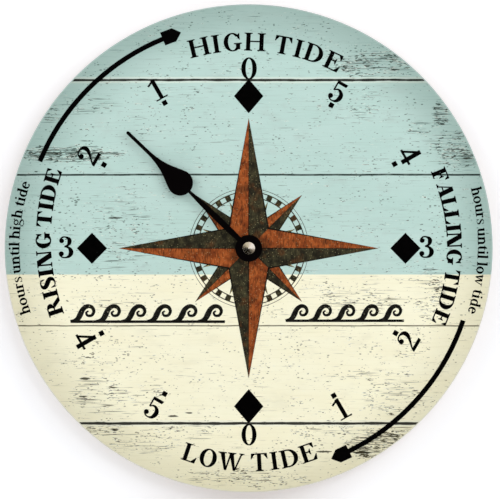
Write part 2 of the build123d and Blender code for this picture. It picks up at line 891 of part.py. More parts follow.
def clutch_pinion():
    """Pinion and arbor of the slip clutch, with a collar behind the centre wheel."""
    back = level_back(motion_level)
    front = back + wheel_thickness
    collar_front = level_back(centre_level) - end_float
    collar_back = collar_front - clutch_collar_height
    piece = pinion(clutch_teeth, gear_module, clutch_phase, hand_axis, back, front)
    piece += stepped_rod(
        hand_axis,
        (clutch_arbor_radius, collar_front, back),
        (clutch_collar_radius, collar_back, collar_front),
        (arbor_shaft_radius, bridge_front + end_float, collar_back),
        (pivot_radius, bridge_back + end_float, bridge_front + end_float),
        (clutch_pivot_radius, front, front + clutch_pivot_length),
    )
    return piece


def clutch_spring():
    """Three-armed spring washer between the centre wheel and the pinion."""
    back = level_back(centre_level) + wheel_thickness + end_float
    outline = Circle(clutch_spring_ring_radius)
    arm_length = clutch_spring_radius
    for arm in PolarLocations(arm_length / 2, clutch_spring_arms):
        outline += arm * Rectangle(arm_length, 2 * clutch_spring_arm_half_width)
    outline -= Circle(clutch_arbor_radius + running_clearance)
    return slab(outline, back, back + clutch_spring_thickness)


def motion_wheel():
    """Wheel driven by the clutch pinion, with the pinion that drives the tide wheel."""
    piece = wheel(motion_teeth, gear_module, motion_phase, motion_axis, motion_level)
    wheel_front = level_back(motion_level) + wheel_thickness
    pinion_end = level_back(tide_level) + wheel_thickness
    piece += pinion(motion_pinion_teeth, tide_module, motion_phase, motion_axis, wheel_front, pinion_end)
    return piece - through_bore(motion_bore_radius, level_back(motion_level), pinion_end, motion_axis)


def rotor_pinion():
    """Rotor's pinion and arbor, with a pivot at each end."""
    back = level_back(first_level)
    boss_back = dict(boss_places())[rotor_axis]
    piece = pinion(rotor_teeth, gear_module, rotor_phase, rotor_axis, back, back + wheel_thickness)
    piece += stepped_rod(
        rotor_axis,
        (pivot_radius, bridge_back + end_float, boss_back + wheel_thickness),
        (arbor_shaft_radius, bridge_front + end_float, boss_back - end_float),
    )
    return piece


def rotor_magnet():
    magnet = rod(magnet_radius, magnet_back, magnet_front, rotor_axis)
    return magnet - through_bore(arbor_shaft_radius, magnet_back, magnet_front, rotor_axis)


def stator_plate():
    """Plate round the rotor, with two legs down to the coil's core."""
    outline = Pos(*rotor_axis) * Circle(stator_ring_radius)
    left, right = motor_screw_places
    leg_low = coil_height - core_half_width
    for place in (left, right):
        leg_top = rotor_axis[1] + stator_leg_half_width
        leg = Rectangle(2 * stator_leg_half_width, leg_top - leg_low)
        outline += Pos(place[0], (leg_top + leg_low) / 2) * leg
    arm_left = left[0] - stator_leg_half_width
    arm = Rectangle(rotor_axis[0] - arm_left, 2 * stator_leg_half_width)
    outline += Pos((rotor_axis[0] + arm_left) / 2, rotor_axis[1]) * arm
    outline -= Pos(*rotor_axis) * Circle(stator_hole_radius)
    for place in (left, right):
        outline -= Pos(*place) * Circle(motor_screw_radius + running_clearance)
    return slab(outline, stator_back, stator_front)


def coil_core():
    low = coil_height - core_half_width
    high = coil_height + core_half_width
    core = block(core_left, core_right, low, high, core_back, stator_back)
    for place in motor_screw_places:
        core -= through_bore(motor_screw_radius + running_clearance, core_back, stator_back, place)
    return core


def coil_rod(radius, left, right):
    return sideways_rod(radius, right - left, (left, coil_height), coil_depth)


def coil_bobbin():
    """Bobbin with two flanges, on the core."""
    bobbin = coil_rod(bobbin_tube_radius, coil_left, coil_right)
    bobbin += coil_rod(bobbin_flange_radius, coil_left, coil_left + bobbin_flange_thickness)
    bobbin += coil_rod(bobbin_flange_radius, coil_right - bobbin_flange_thickness, coil_right)
    half_width = core_half_width + running_clearance
    return bobbin - block(
        coil_left - cut_overrun,
        coil_right + cut_overrun,
        coil_height - half_width,
        coil_height + half_width,
        core_back - running_clearance,
        stator_back + running_clearance,
    )


def coil_winding():
    left = coil_left + bobbin_flange_thickness
    right = coil_right - bobbin_flange_thickness
    tube = coil_rod(bobbin_tube_radius, left - cut_overrun, right + cut_overrun)
    return coil_rod(winding_radius, left, right) - tube


def coil_leads():
    """Two leads from the bobbin's flange, through the bridge plate, to the circuit board."""
    leads = []
    for lead_x, lead_z in lead_places():
        start = (coil_right, -coil_depth, lead_z)
        turn_front = (lead_x, -coil_depth, lead_z)
        turn_back = (lead_x, -(circuit_back - lead_radius), lead_z)
        end = (board_left + lead_reach, -(circuit_back - lead_radius), lead_z)
        path = Polyline(start, turn_front, turn_back, end)
        section = Plane(origin=start, z_dir=(1, 0, 0)) * Circle(lead_radius)
        leads.append(sweep(section, path=path, transition=Transition.RIGHT))
    return leads


def circuit_board():
    board = block(board_left, board_right, board_low, board_high, circuit_back, bridge_back)
    for place in stake_places():
        board -= through_bore(stake_radius + running_clearance, circuit_back, bridge_back, place)
    return board


def quartz_crystal():
    """Crystal in a round can that lies on the board, with two leads."""
    can_depth = circuit_back - crystal_radius
    right = crystal_x + crystal_length / 2
    crystal = sideways_rod(crystal_radius, crystal_length, (right - crystal_length, crystal_z), can_depth)
    for side in (-1, 1):
        lead_z = crystal_z + side * crystal_lead_spacing / 2
        crystal += sideways_rod(crystal_lead_radius, crystal_lead_length, (right, lead_z), can_depth)
        foot = (right + crystal_lead_length, lead_z)
        crystal += rod(crystal_lead_radius, can_depth - crystal_lead_radius, circuit_back, foot)
    return crystal


def driver_chip():
    """Low round blob over the bonded chip."""
    blob = rod(chip_radius, circuit_back - chip_height, circuit_back, (chip_x, chip_z))
    return fillet(blob.edges().sort_by(Axis.Y)[-1], chip_round)


def battery_cell():
    """Round cell with its positive cap to the right."""
    can = sideways_rod(cell_radius, cell_length, (cell_left, cell_height), cell_depth)
    can = fillet(can.edges().filter_by(GeomType.CIRCLE), cell_edge_round)
    shoulder = (cell_left + cell_length, cell_height)
    return can + sideways_rod(cell_nub_radius, cell_nub_length, shoulder, cell_depth)


def contact_plate(left, right):
    """Flat contact on an end wall of the bay, with a riser to the divider."""
    low = cell_height - contact_half_height
    high = cell_height + contact_half_height
    plate = block(left, right, low, high, cell_depth - contact_half_width, cell_depth + contact_half_width)
    return plate + block(left, right, cell_height, divider_bottom, tail_back, circuit_back)


def positive_contact():
    """Contact at the cell's cap, with an arm to the circuit board."""
    left = inner_half - contact_thickness
    contact = contact_plate(left, inner_half)
    contact += block(left, inner_half, divider_bottom, positive_arm_height, tail_back, circuit_back)
    arm_left = inner_half - positive_arm_reach
    arm_low = positive_arm_height - contact_tail_width
    pad_back = circuit_back - contact_thickness
    return contact + block(arm_left, inner_half, arm_low, positive_arm_height, pad_back, circuit_back)


def contact_leaf():
    """Leaf bowed from the contact plate to the cell's flat end."""
    crest = cell_left - cell_end_gap
    low = cell_height - leaf_half_height
    high = cell_height + leaf_half_height
    inner_low = low + leaf_thickness
    inner_high = high - leaf_thickness
    outer_bow = ThreePointArc((leaf_root, low), (crest, cell_height), (leaf_root, high))
    inner_crest = (crest - leaf_thickness, cell_height)
    inner_bow = ThreePointArc((leaf_root, inner_high), inner_crest, (leaf_root, inner_low))
    upper_end = Line((leaf_root, high), (leaf_root, inner_high))
    lower_end = Line((leaf_root, inner_low), (leaf_root, low))
    leaf = make_face([outer_bow, upper_end, inner_bow, lower_end])
    return slab(leaf, cell_depth - leaf_half_width, cell_depth + leaf_half_width)


def negative_contact():
    """Contact with a bowed leaf, and a strip over the bridge plate to the circuit board."""
    right = -inner_half + contact_thickness
    link_left = min(bay_left, -inner_half)
    link_right = max(leaf_root, right)
    link_low = divider_bottom - contact_thickness
    strip_low = divider_top + bridge_gap
    strip_high = strip_low + contact_tail_width
    strip_back = bridge_back - contact_thickness
    strip_left = negative_strip_x - contact_tail_width
    step_high = board_low - assembly_clearance
    step_low = step_high - contact_thickness
    pad_back = circuit_back - contact_thickness
    pad_high = board_low + negative_strip_rise
    contact = contact_plate(bay_left, leaf_root) + contact_leaf()
    contact += block(link_left, link_right, link_low, divider_bottom, tail_back, circuit_back)
    contact += block(-inner_half, right, divider_bottom, divider_top, tail_back, circuit_back)
    contact += block(-inner_half, right, divider_top, strip_high, tail_back, bridge_back)
    contact += block(-inner_half, negative_strip_x, strip_low, strip_high, strip_back, bridge_back)
    contact += block(strip_left, negative_strip_x, strip_low, step_high, strip_back, bridge_back)
    contact += block(strip_left, negative_strip_x, step_low, step_high, pad_back, bridge_back)
    return contact + block(strip_left, negative_strip_x, step_low, pad_high, pad_back, circuit_back)


def setting_knob():
    """Notched knob in the well, with the shaft that carries the setting pinion."""
    outline = Circle(knob_radius)
    for notch in PolarLocations(knob_radius, knob_notch_count):
        outline -= notch * Circle(knob_notch_radius)
    knob_front = knob_recess + knob_thickness
    pinion_back = level_back(motion_level)
    pivot_end = pinion_back + wheel_thickness + first_level_gap + knob_pivot_reach
    return slab(Pos(*knob_axis) * outline, knob_recess, knob_front) + stepped_rod(
        knob_axis,
        (knob_shaft_radius, knob_front, pinion_back),
        (knob_pivot_radius, pinion_back, pivot_end),
    )


def setting_pinion():
    back = level_back(motion_level)
    piece = pinion(clutch_teeth, gear_module, setting_phase, knob_axis, back, back + wheel_thickness)
    return piece - rod(knob_pivot_radius, back - cut_overrun, back + level_pitch, knob_axis)


parts = {
    "dial_board": dial_board,
    "face_sheet": face_sheet,
    "dial_marks": dial_marks,
    "hanger_plate": hanger_plate,
    "rubber_gasket": rubber_gasket,
    "threaded_bushing": threaded_bushing,
    "flat_washer": flat_washer,
    "hex_nut": hex_nut,
    "tide_hand": tide_hand,
    "cap_nut": cap_nut,
    "tide_arbor": tide_arbor,
    "tide_wheel": tide_wheel,
    "movement_case": movement_case,
    "case_back": case_back,
    "bridge_plate": bridge_plate,
    "bridge_screws": bridge_screws,
    "motion_wheel": motion_wheel,
    "clutch_pinion": clutch_pinion,
    "clutch_spring": clutch_spring,
    "centre_wheel": centre_wheel,
    "third_wheel": third_wheel,
    "second_wheel": second_wheel,
    "first_wheel": first_wheel,
    "rotor_pinion": rotor_pinion,
    "rotor_magnet": rotor_magnet,
    "stator_plate": stator_plate,
    "coil_core": coil_core,
    "coil_bobbin": coil_bobbin,
    "coil_winding": coil_winding,
    "coil_leads": coil_leads,
    "motor_screws": motor_screws,
    "circuit_board": circuit_board,
    "quartz_crystal": quartz_crystal,
    "driver_chip": driver_chip,
    "positive_contact": positive_contact,
    "negative_contact": negative_contact,
    "battery_cell": battery_cell,
    "setting_knob": setting_knob,
    "setting_pinion": setting_pinion,
}

# Nodes that hold several separate solids
groups = ("dial_marks", "bridge_screws", "motor_screws", "coil_leads")

os.makedirs("parts", exist_ok=True)
for name, make in parts.items():
    pieces = ShapeList(make()) if name in groups else ShapeList([make()])
    solids = pieces.solids()
    export_step(Compound(children=solids) if name in groups else solids[0], f"parts/{name}.step")
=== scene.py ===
"""Looks of a tide clock: a printed board dial with a black hand, and a quartz movement behind it."""
import json
import math
from collections import namedtuple

import bpy
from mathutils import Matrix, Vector
from mathutils.geometry import delaunay_2d_cdt


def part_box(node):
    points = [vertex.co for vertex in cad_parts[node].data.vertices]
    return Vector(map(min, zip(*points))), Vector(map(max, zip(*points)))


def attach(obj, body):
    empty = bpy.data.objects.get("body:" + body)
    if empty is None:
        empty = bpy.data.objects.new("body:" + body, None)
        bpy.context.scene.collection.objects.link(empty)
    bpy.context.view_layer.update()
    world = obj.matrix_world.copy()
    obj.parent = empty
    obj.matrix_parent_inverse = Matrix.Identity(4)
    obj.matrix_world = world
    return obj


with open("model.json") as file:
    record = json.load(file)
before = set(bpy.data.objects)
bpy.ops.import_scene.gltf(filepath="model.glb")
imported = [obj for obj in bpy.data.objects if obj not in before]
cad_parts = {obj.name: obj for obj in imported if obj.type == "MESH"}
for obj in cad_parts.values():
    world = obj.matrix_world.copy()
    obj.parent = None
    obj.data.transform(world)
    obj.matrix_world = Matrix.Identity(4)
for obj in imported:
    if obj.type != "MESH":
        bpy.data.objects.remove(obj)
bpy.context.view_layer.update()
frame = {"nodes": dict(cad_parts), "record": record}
nodes = frame["nodes"]
scene = bpy.context.scene

# Lengths are in metres where nothing else is said. The dial's X and Z are seen from the room, and its
# angles are in degrees, clockwise from the top.
mm = 0.001
sheet_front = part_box("face_sheet")[0].y
print_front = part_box("dial_marks")[0].y
board_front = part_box("dial_board")[0].y
dial_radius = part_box("dial_board")[1].x

# Height where the dial's colour changes, half the height of the change, and seams with their half widths
colour_split = -16.1 * mm
split_softness = 0.2 * mm
dark_seams = ((103.4 * mm, 0.5 * mm), (-107.6 * mm, 0.62 * mm))
fine_seams = ((45.2 * mm, 0.42 * mm, "23302B"), (-47.6 * mm, 0.27 * mm, "5E5A46"))

# Numerals: their circle, height and stretch
numeral_radius = 113.2 * mm
numeral_height = 13.3 * mm
numeral_stretch = 1.06

# Slanted numerals: dial angle, figure, and millimetres off their circle, right and up
slanted_numerals = (
    (30, 5, -1.8, -2.1), (60, 4, 0.6, 1.2), (120, 2, 0, 0), (150, 1, 0.3, -0.3),
    (210, 5, -1.8, -0.3), (240, 4, -2.8, 0.9), (300, 2, -0.6, 0.6), (330, 1, 0.3, -0.3),
)

# Upright numerals: figure, centre X and Z, and height, in millimetres
upright_numerals = (
    (0, 0.2, 110.5, 13.4), (0, 0.2, -114.5, 13), (3, 109.3, 0.8, 13.5), (3, -112.2, 0.6, 13.5),
)

# Wave borders: left, right, low and high sides in millimetres, and number of waves
wave_borders = {
    "wave_border_left": (-108.6, -14.6, -45.9, -34.2, 6),
    "wave_border_right": (23.5, 95.4, -45.3, -34.2, 5),
}
wave_base = 0.14

# Compass rose, in millimetres: its rings, the blocks between the first two, its strokes and layers
rose_bands = ((31, 31.6), (34.4, 35), (36.6, 36.9))
rose_blocks = 32
rose_block_half_angle = 2.8
rose_middle_stroke = 0.7
rose_side_stroke = 0.9
rose_side_start = 1.01
rose_line_rise = 0.1
rose_ring_layer = 0.4

# Printed marks of the rear cover, in millimetres and degrees, and their thickness in metres
mark_radius = 9.4
mark_line = 0.8
mark_size = 3.8
mark_inset = 1.6
mark_rise = 3
mark_half_turn = 56
mark_tip_turn = 76
mark_head = 1.6
mark_relief = 0.05 * mm

# Camera
view_distance = 2.5
view_width = 307.2 * mm
view_centre = (0.8 * mm, -0.74 * mm)
sensor_width = 36

# Floor and wall; their glow changes between the near and the far reach from the dial
floor_height = -155.5 * mm
floor_half_width = 3
wall_gap = 1 * mm
wall_half_width = 0.36
wall_top = 0.36
near_reach = 0.3
far_reach = 1.4

# Glowing cards that the cap nut reflects, seen nowhere else, as painted reflections of light and shade: start
# and end as dial angles, and colour; distance and lean
cards = (
    (0, 30, "F2E6DA"), (30, 98, "FFFAF4"), (98, 120, "A79C90"), (120, 145, "6E675A"),
    (145, 190, "35312A"), (190, 255, "14120A"), (255, 278, "2E2A1E"), (278, 300, "6B604C"),
    (300, 322, "A89C80"), (322, 360, "D6CCB4"),
)
card_distance = 0.125
card_leans = (32, 88)

# Lamps: place, target, size, and the level to which each lights the clock; and the sky's level
dial_middle = (0, sheet_front, 0)
lamps = {
    "soft_box_left": ((-1.05, -1.35, 0.75), dial_middle, 1.1, 0.17),
    "soft_box_right": ((1.05, -1.35, 0.75), dial_middle, 1.1, 0.20),
    "key_lamp": ((0.45, -2.2, 0.45), dial_middle, 0.5, 0.11),
    "rear_box_left": ((-1.05, 1.35, 0.75), (0, 0, 0), 1.1, 0.21),
    "rear_box_right": ((1.05, 1.35, 0.75), (0, 0, 0), 1.1, 0.21),
}
sky_level = 0.36

# Worn places of the boards: centre X and Z and half sizes in millimetres, and how strong the wear is
worn_places = (
    (118.1, 83, 5.5, 8.6, 0.85), (122.5, 65.3, 13.5, 7.4, 0.6), (130, 55.5, 14, 7, 0.7),
    (105.2, 73.9, 7.4, 4.9, 0.5), (71.5, 88, 9.8, 13.5, 0.35), (76, 113, 28, 8.6, 0.62),
    (-100.6, 88, 18.4, 6.1, 0.35), (-122.1, 83.1, 7.4, 6.1, 0.6), (-112, 57.6, 32, 5.5, 0.85),
    (112.6, -29.3, 10, 20, 0.5), (-100.6, -69.9, 15.4, 3.7, 0.4), (-91.4, -90.1, 18.4, 13.5, 0.45),
    (-60.6, -90.1, 9.8, 8.6, 0.4), (89.9, -92, 18.4, 13.5, 0.4), (84, -121, 24.6, 12.3, 0.85),
    (-89, -110.5, 14, 4.5, 0.7), (68.4, -31.8, 27.6, 8.6, 0.4), (102.2, -59.4, 8.6, 7.4, 0.35),
    (77.6, -77.8, 24.6, 4.9, 0.35), (-85.2, -31.8, 18.4, 6.1, 0.3), (-42.2, -112.9, 24.6, 6.1, 0.35),
    (50, -111.6, 24.6, 4.9, 0.4), (-76, 12, 20, 24, 0.35), (-66, -120, 22, 7, 0.4),
    (0.0, -141, 36, 6, 0.45),
)

# Places with more specks than elsewhere, given the same way
spotted_places = (
    (113.8, 18, 8, 24, 0.9), (-112, 22, 10, 28, 0.9), (-96, 104, 26, 10, 0.6),
    (98, 84, 14, 10, 0.6), (-90, -64, 30, 12, 0.6), (64, -118, 40, 12, 0.8),
    (-64, -118, 34, 8, 0.6), (60, 118, 26, 8, 0.7),
)

# Single deep scratches: how strong they are, and centre X and Z and half sizes in millimetres
scratch_depth = 0.92
scratches = (
    (-99.4, -79.7, 3, 0.75), (47.5, -124.6, 4.3, 0.55), (70.8, -125.2, 4.9, 0.6), (-45.3, -102.8, 2.9, 0.5),
    (-35.5, -100.8, 2, 0.4), (-100.6, -90.7, 2.4, 0.4), (-80.9, 19, 4, 0.5), (135.4, 55.7, 2.6, 0.55),
    (-121, 58.9, 5.2, 0.4),
)


def linear(code):
    """Linear colour of a six-digit hexadecimal sRGB code."""
    channels = [int(code[place:place + 2], 16) / 255 for place in (0, 2, 4)]
    bent = [c / 12.92 if c <= 0.04045 else ((c + 0.055) / 1.055) ** 2.4 for c in channels]
    return (*bent, 1)


def give(tree, value, socket):
    """Link a node's output to the socket, or write a plain value or a colour code there."""
    if isinstance(value, bpy.types.NodeSocket):
        tree.links.new(value, socket)
    else:
        socket.default_value = linear(value) if isinstance(value, str) else value


def add_node(tree, kind, inputs, **settings):
    """Outputs of a new node with these settings; its inputs are given by name or number."""
    node = tree.nodes.new(f"ShaderNode{kind}")
    for name, value in settings.items():
        setattr(node, name, value)
    for key, value in inputs.items():
        give(tree, value, node.inputs[key])
    return node.outputs


class Paint:
    """A material's nodes, a short call for each kind; cells, waves and relief are in millimetres."""

    def __init__(self, name, colour="808080", metallic=0, roughness=0.5, specular=0.5):
        self.material = bpy.data.materials.new(name)
        self.material.use_nodes = True
        self.tree = self.material.node_tree
        self.shader = self.tree.nodes["Principled BSDF"]
        self.set("Base Color", colour)
        self.set("Metallic", metallic)
        self.set("Roughness", roughness)
        self.set("Specular IOR Level", specular)
        self.coordinates = add_node(self.tree, "TexCoord", {})["Object"]

    def set(self, name, value):
        """Give one of the shader's own sockets its value."""
        give(self.tree, value, self.shader.inputs[name])

    def math(self, operation, *values):
        """A Math node's output."""
        return add_node(self.tree, "Math", dict(enumerate(values)), operation=operation)[0]

    def times(self, value, factor, *added):
        """Value times factor, with something added to it where given."""
        return self.math("MULTIPLY_ADD" if added else "MULTIPLY", value, factor, *added)

    def axes(self):
        """The three object coordinates, each as its own output, in metres."""
        return add_node(self.tree, "SeparateXYZ", {0: self.coordinates})

    def reach(self):
        """Distance from the hand's axis, in metres."""
        x, _, z = self.axes()
        return self.math("SQRT", self.times(x, x, self.times(z, z)))

    def below_split(self):
        """0 on the dial's upper colour and 1 on its lower one."""
        return self.rise(self.axes()[2], colour_split + split_softness, colour_split - split_softness)

    def away(self, value, place):
        """Distance of a value from a place."""
        return self.math("ABSOLUTE", self.math("SUBTRACT", value, place))

    def stretched(self, x, z, y):
        """Object coordinates counted in cells of these sizes; without z or y they are as wide as x."""
        cells = (1 / (x * mm), 1 / ((y or x) * mm), 1 / ((z or x) * mm))
        return add_node(self.tree, "VectorMath", {0: self.coordinates, 1: cells}, operation="MULTIPLY")[0]

    def noise(self, x, z=None, y=None, detail=2, roughness=0.5):
        """Noise from 0 to 1 with cells of these sizes."""
        inputs = {"Vector": self.stretched(x, z, y), "Scale": 1, "Detail": detail, "Roughness": roughness}
        return add_node(self.tree, "TexNoise", inputs)[0]

    def cells(self, x, z=None, y=None, feature="F1"):
        """Distance to the nearest of scattered points, with cells of these sizes."""
        inputs = {"Vector": self.stretched(x, z, y), "Scale": 1}
        return add_node(self.tree, "TexVoronoi", inputs, feature=feature)["Distance"]

    def rise(self, value, start, end, low=0, high=1):
        """Smooth change from low to high as value goes from start to end."""
        inputs = {"Value": value, "From Min": start, "From Max": end, "To Min": low, "To Max": high}
        return add_node(self.tree, "MapRange", inputs, interpolation_type="SMOOTHSTEP")[0]

    def waves(self, value, length):
        """Waves of this length along value, from 0 to 1."""
        return self.rise(self.sine(value, length), -1, 1)

    def sine(self, value, length):
        """Waves of this length along value, from -1 to 1."""
        return self.math("SINE", self.times(value, math.tau / (length * mm)))

    def mix(self, share, first, second, how="MIX"):
        """Colour between first and second."""
        inputs = {0: share, 6: first, 7: second}
        return add_node(self.tree, "Mix", inputs, data_type="RGBA", blend_type=how)[2]

    def over(self, colour, tint, value, start, end, most=1):
        """Colour with a tint laid over it, from none to most of it as value goes from start to end."""
        return self.mix(self.rise(value, start, end, 0, most), colour, tint)

    def gloss(self, value, low, high):
        """Roughness from low to high as value goes through the middle of its range."""
        self.set("Roughness", self.rise(value, 0.3, 0.7, low, high))

    def finished(self, colour, height, distance, strength):
        """The material in this colour, shaded by height, from 0 to 1, as relief of this distance."""
        self.set("Base Color", colour)
        inputs = {"Strength": strength, "Distance": distance * mm, "Height": height}
        self.set("Normal", add_node(self.tree, "Bump", inputs)[0])
        return self.material


def near_line(paint, height, place, half_width):
    """1 on a level line of the dial, falling to 0 beyond its half width."""
    return paint.rise(paint.away(height, place), half_width, half_width * 1.7, 1, 0)


def ovals(paint, x, z, places, fade):
    """1 in the middle of each of these places and 0 beyond it, times its strength; x and z in metres."""
    found = 0
    for centre_x, centre_z, half_x, half_z, strength in places:
        across = paint.times(x, 1 / (half_x * mm), -centre_x / half_x)
        along = paint.times(z, 1 / (half_z * mm), -centre_z / half_z)
        squares = paint.times(across, across, paint.times(along, along))
        here = paint.rise(squares, 1.6, 1.6 - fade, 0, strength)
        found = paint.math("MAXIMUM", found, here)
    return found


def brushed(paint, colour, lower):
    """Colour with brush strokes along the boards, and faint cloudy patches."""
    strokes = paint.noise(26, 0.9, detail=3)
    colour = paint.over(colour, paint.mix(lower, "8FA69B", "D6CFA6"), strokes, 0.5, 0.72, 0.16)
    clouds = paint.noise(17, 11, detail=5, roughness=0.62)
    return paint.over(colour, paint.mix(lower, "A9AFAB", "D2CFB8"), clouds, 0.52, 0.75, 0.17)


def worn(paint, colour, ink):
    """Dashes with pale edges and fine scratches, thick in worn places; a few deep scratches, and specks."""
    x, _, z = paint.axes()
    wear = ovals(paint, x, z, worn_places, 1.3)
    patches = paint.rise(paint.noise(11, 7, detail=3), 0.46, 0.66)

    def level(marks, wear_pull, patch_pull):
        pull = paint.times(wear, wear_pull, paint.times(patches, patch_pull))
        return paint.math("ADD", marks, pull)

    dashes = level(paint.noise(4.6, 0.72, detail=2.5, roughness=0.55), 0.22, 0.11)
    colour = paint.over(colour, "F2F5EA", dashes, 0.725, 0.775, 0.6)
    colour = paint.over(colour, ink, dashes, 0.79, 0.82, 0.95)
    ticks = level(paint.noise(2.8, 0.62), 0.17, 0.07)
    colour = paint.over(colour, ink, ticks, 0.725, 0.755, 0.9)
    hairs = paint.times(wear, 0.2, paint.noise(15, 0.42))
    colour = paint.over(colour, ink, hairs, 0.68, 0.76, 0.75)

    ragged_x = paint.times(paint.noise(1.6, 0.5), 2.4 * mm, x)
    ragged_z = paint.times(paint.noise(2.2, 1), 0.7 * mm, z)
    deep = ovals(paint, ragged_x, ragged_z, [(*place, scratch_depth) for place in scratches], 0.9)
    colour = paint.mix(deep, colour, "2A2818")

    spotted = ovals(paint, x, z, spotted_places, 1.6)
    limit = paint.times(spotted, 0.16, paint.rise(paint.noise(7), 0.42, 0.74, 0.03, 0.25))
    speck = paint.math("LESS_THAN", paint.cells(3.1, 1.45, 2.4), limit)
    return paint.mix(paint.times(speck, 0.65), colour, ink)


def seamed(paint, colour):
    """Seams between the boards, each a little wavy and uneven."""
    wave = paint.times(paint.noise(24, 500, detail=5), 0.9 * mm, -0.45 * mm)
    height = paint.math("ADD", paint.axes()[2], wave)
    broken = paint.noise(8, 400, detail=3)
    for place, half_width in dark_seams:
        halo = near_line(paint, height, place, 1.4 * mm)
        colour = paint.mix(paint.times(halo, 0.45), colour, "EEF2E4")
        rough = paint.rise(broken, 0.3, 0.75, half_width, half_width + 0.3 * mm)
        beyond = paint.math("SUBTRACT", paint.away(height, place), rough)
        colour = paint.mix(paint.rise(beyond, 0, 0.12 * mm, 0.97, 0), colour, "191B17")
    for place, half_width, tint in fine_seams:
        line = near_line(paint, height, place, half_width)
        line = paint.times(line, paint.rise(broken, 0.25, 0.6, 0.75, 0.97))
        colour = paint.mix(line, colour, tint)
    return colour


def printed_boards():
    """Print of painted boards: aqua above, cream below, with seams, wear, and painted shade that darkens the
    edge.
    """
    paint = Paint("printed_boards", roughness=0.62, specular=0.06)
    lower = paint.below_split()
    tone = paint.noise(34, 12, detail=4)
    colour = paint.mix(lower, paint.mix(tone, "B7D6CE", "C8E1DB"), paint.mix(tone, "FAF4D4", "FFFDE4"))
    colour = brushed(paint, colour, lower)
    colour = worn(paint, colour, paint.mix(lower, "35463F", "3F3923"))
    colour = seamed(paint, colour)
    # Painted shade: the colour is multiplied darker towards the rim of the dial, as if the edge lay in
    # shadow.
    shade = paint.rise(paint.reach(), dial_radius * 0.76, dial_radius * 1.02)
    colour = paint.mix(shade, colour, paint.mix(lower, "D3D6D5", "E5E4E0"), "MULTIPLY")
    return paint.finished(colour, paint.noise(0.5, detail=3), 0.02, 0.35)


def speckled_print(name, colour, other, worn_share):
    """Printed ink with cloudy tone and small gaps through which the boards show."""
    paint = Paint(name, colour, roughness=0.7, specular=0.01)
    tone = paint.noise(3.2, 2, detail=5, roughness=0.65)
    body = paint.over(colour, other, tone, 0.38, 0.66)
    gaps = paint.noise(2.42, 1.1, 1.1, detail=3, roughness=0.6)
    board = paint.mix(paint.below_split(), "B9D3CB", "EFEACB")
    body = paint.over(body, board, gaps, 0.74 - worn_share, 0.79 - worn_share, 0.7)
    return paint.finished(body, paint.noise(0.4), 0.01, 0.25)


def etched_print(name, dark, light, warm):
    """Print in the manner of a tinted engraving: fine lines over a mottled tint."""
    paint = Paint(name, dark, roughness=0.6, specular=0.02)
    tint = paint.over(dark, light, paint.noise(5, detail=5, roughness=0.7), 0.36, 0.66)
    tint = paint.over(tint, warm, paint.noise(9, detail=3, roughness=0.6), 0.52, 0.7, 0.7)
    tint = paint.over(tint, "1C1A14", paint.noise(0.75, 3.4), 0.5, 0.62, 0.55)
    tint = paint.over(tint, "C8BD8A", paint.cells(1.5), 0.2, 0.12, 0.35)
    paint.set("Base Color", tint)
    return paint.material


def fibreboard():
    """Pressed wood fibre, brown and flecked; the print bleeds over its rounded front edge, paler there as a
    painted highlight.
    """
    paint = Paint("pressed_fibre", roughness=0.85, specular=0.2)
    flecks = paint.noise(1.6, 1.6, 0.5, detail=6, roughness=0.7)
    colour = paint.over("8A6B4B", "B29470", flecks, 0.35, 0.68)
    colour = paint.over(colour, "7A5C3E", paint.noise(22, detail=4), 0.45, 0.75, 0.3)
    colour = paint.over(colour, "CBB28E", paint.noise(3.5, 0.5, 0.3, detail=4), 0.58, 0.72, 0.5)
    # Print over the rounded front edge, paler than the face: partly real print, partly a painted highlight of
    # the edge in the light.
    bleed_and_edge_highlight = paint.mix(paint.below_split(), "BCCFCA", "E9E7DA")
    ragged = paint.times(flecks, 0.5 * mm, paint.axes()[1])
    colour = paint.over(colour, bleed_and_edge_highlight, ragged, board_front + 1.3 * mm, board_front + 1.1 * mm)
    return paint.finished(colour, flecks, 0.12, 0.5)


def lacquered_metal():
    """Thin black lacquer on the hand, with faint orange peel and dust."""
    paint = Paint("black_lacquer", roughness=0.45, specular=0.01)
    colour = paint.mix(paint.noise(2.5, detail=4), "020101", "060304")
    paint.gloss(paint.noise(1.2, detail=4), 0.34, 0.5)
    return paint.finished(colour, paint.noise(0.7), 0.015, 0.3)


def polished_steel():
    """Polished steel with the faint rings that turning leaves about the hand's axis."""
    paint = Paint("polished_steel", metallic=1)
    smear = paint.noise(0.8, detail=3)
    colour = paint.mix(smear, "DAD6CE", "E6E2DA")
    paint.gloss(smear, 0.21, 0.25)
    return paint.finished(colour, paint.waves(paint.reach(), 0.18), 0.001, 0.1)


def rolled_metal(name, dark, light, roughness):
    """Sheet or turned metal: fine lines, cloudy tone and uneven gloss."""
    paint = Paint(name, dark, metallic=1, roughness=roughness)
    lines = paint.noise(6, 0.12, detail=3)
    clouds = paint.noise(2.4, detail=4, roughness=0.6)
    tone = paint.times(lines, 0.5, paint.times(clouds, 0.5))
    paint.gloss(tone, roughness - 0.07, roughness + 0.1)
    return paint.finished(paint.over(dark, light, tone, 0.36, 0.64), lines, 0.01, 0.35)


def moulded(name, dark, light, roughness, relief=0.03, specular=0.4):
    """Moulded plastic, rubber or resin with a fine grain and a slightly uneven tone."""
    paint = Paint(name, dark, roughness=roughness, specular=specular)
    texture = paint.noise(0.35, detail=3, roughness=0.6)
    colour = paint.over(dark, light, paint.noise(8, detail=4), 0.35, 0.7)
    paint.gloss(texture, roughness - 0.08, roughness + 0.08)
    return paint.finished(colour, texture, relief, 0.5)


def wound_copper():
    """Enamelled wire laid turn beside turn along the coil."""
    paint = Paint("wound_copper", "B4632E", metallic=1, roughness=0.32)
    turns = paint.waves(paint.axes()[0], 0.22)
    paint.gloss(paint.noise(1), 0.25, 0.42)
    return paint.finished(paint.mix(turns, "6E3214", "C9773B"), turns, 0.05, 0.8)


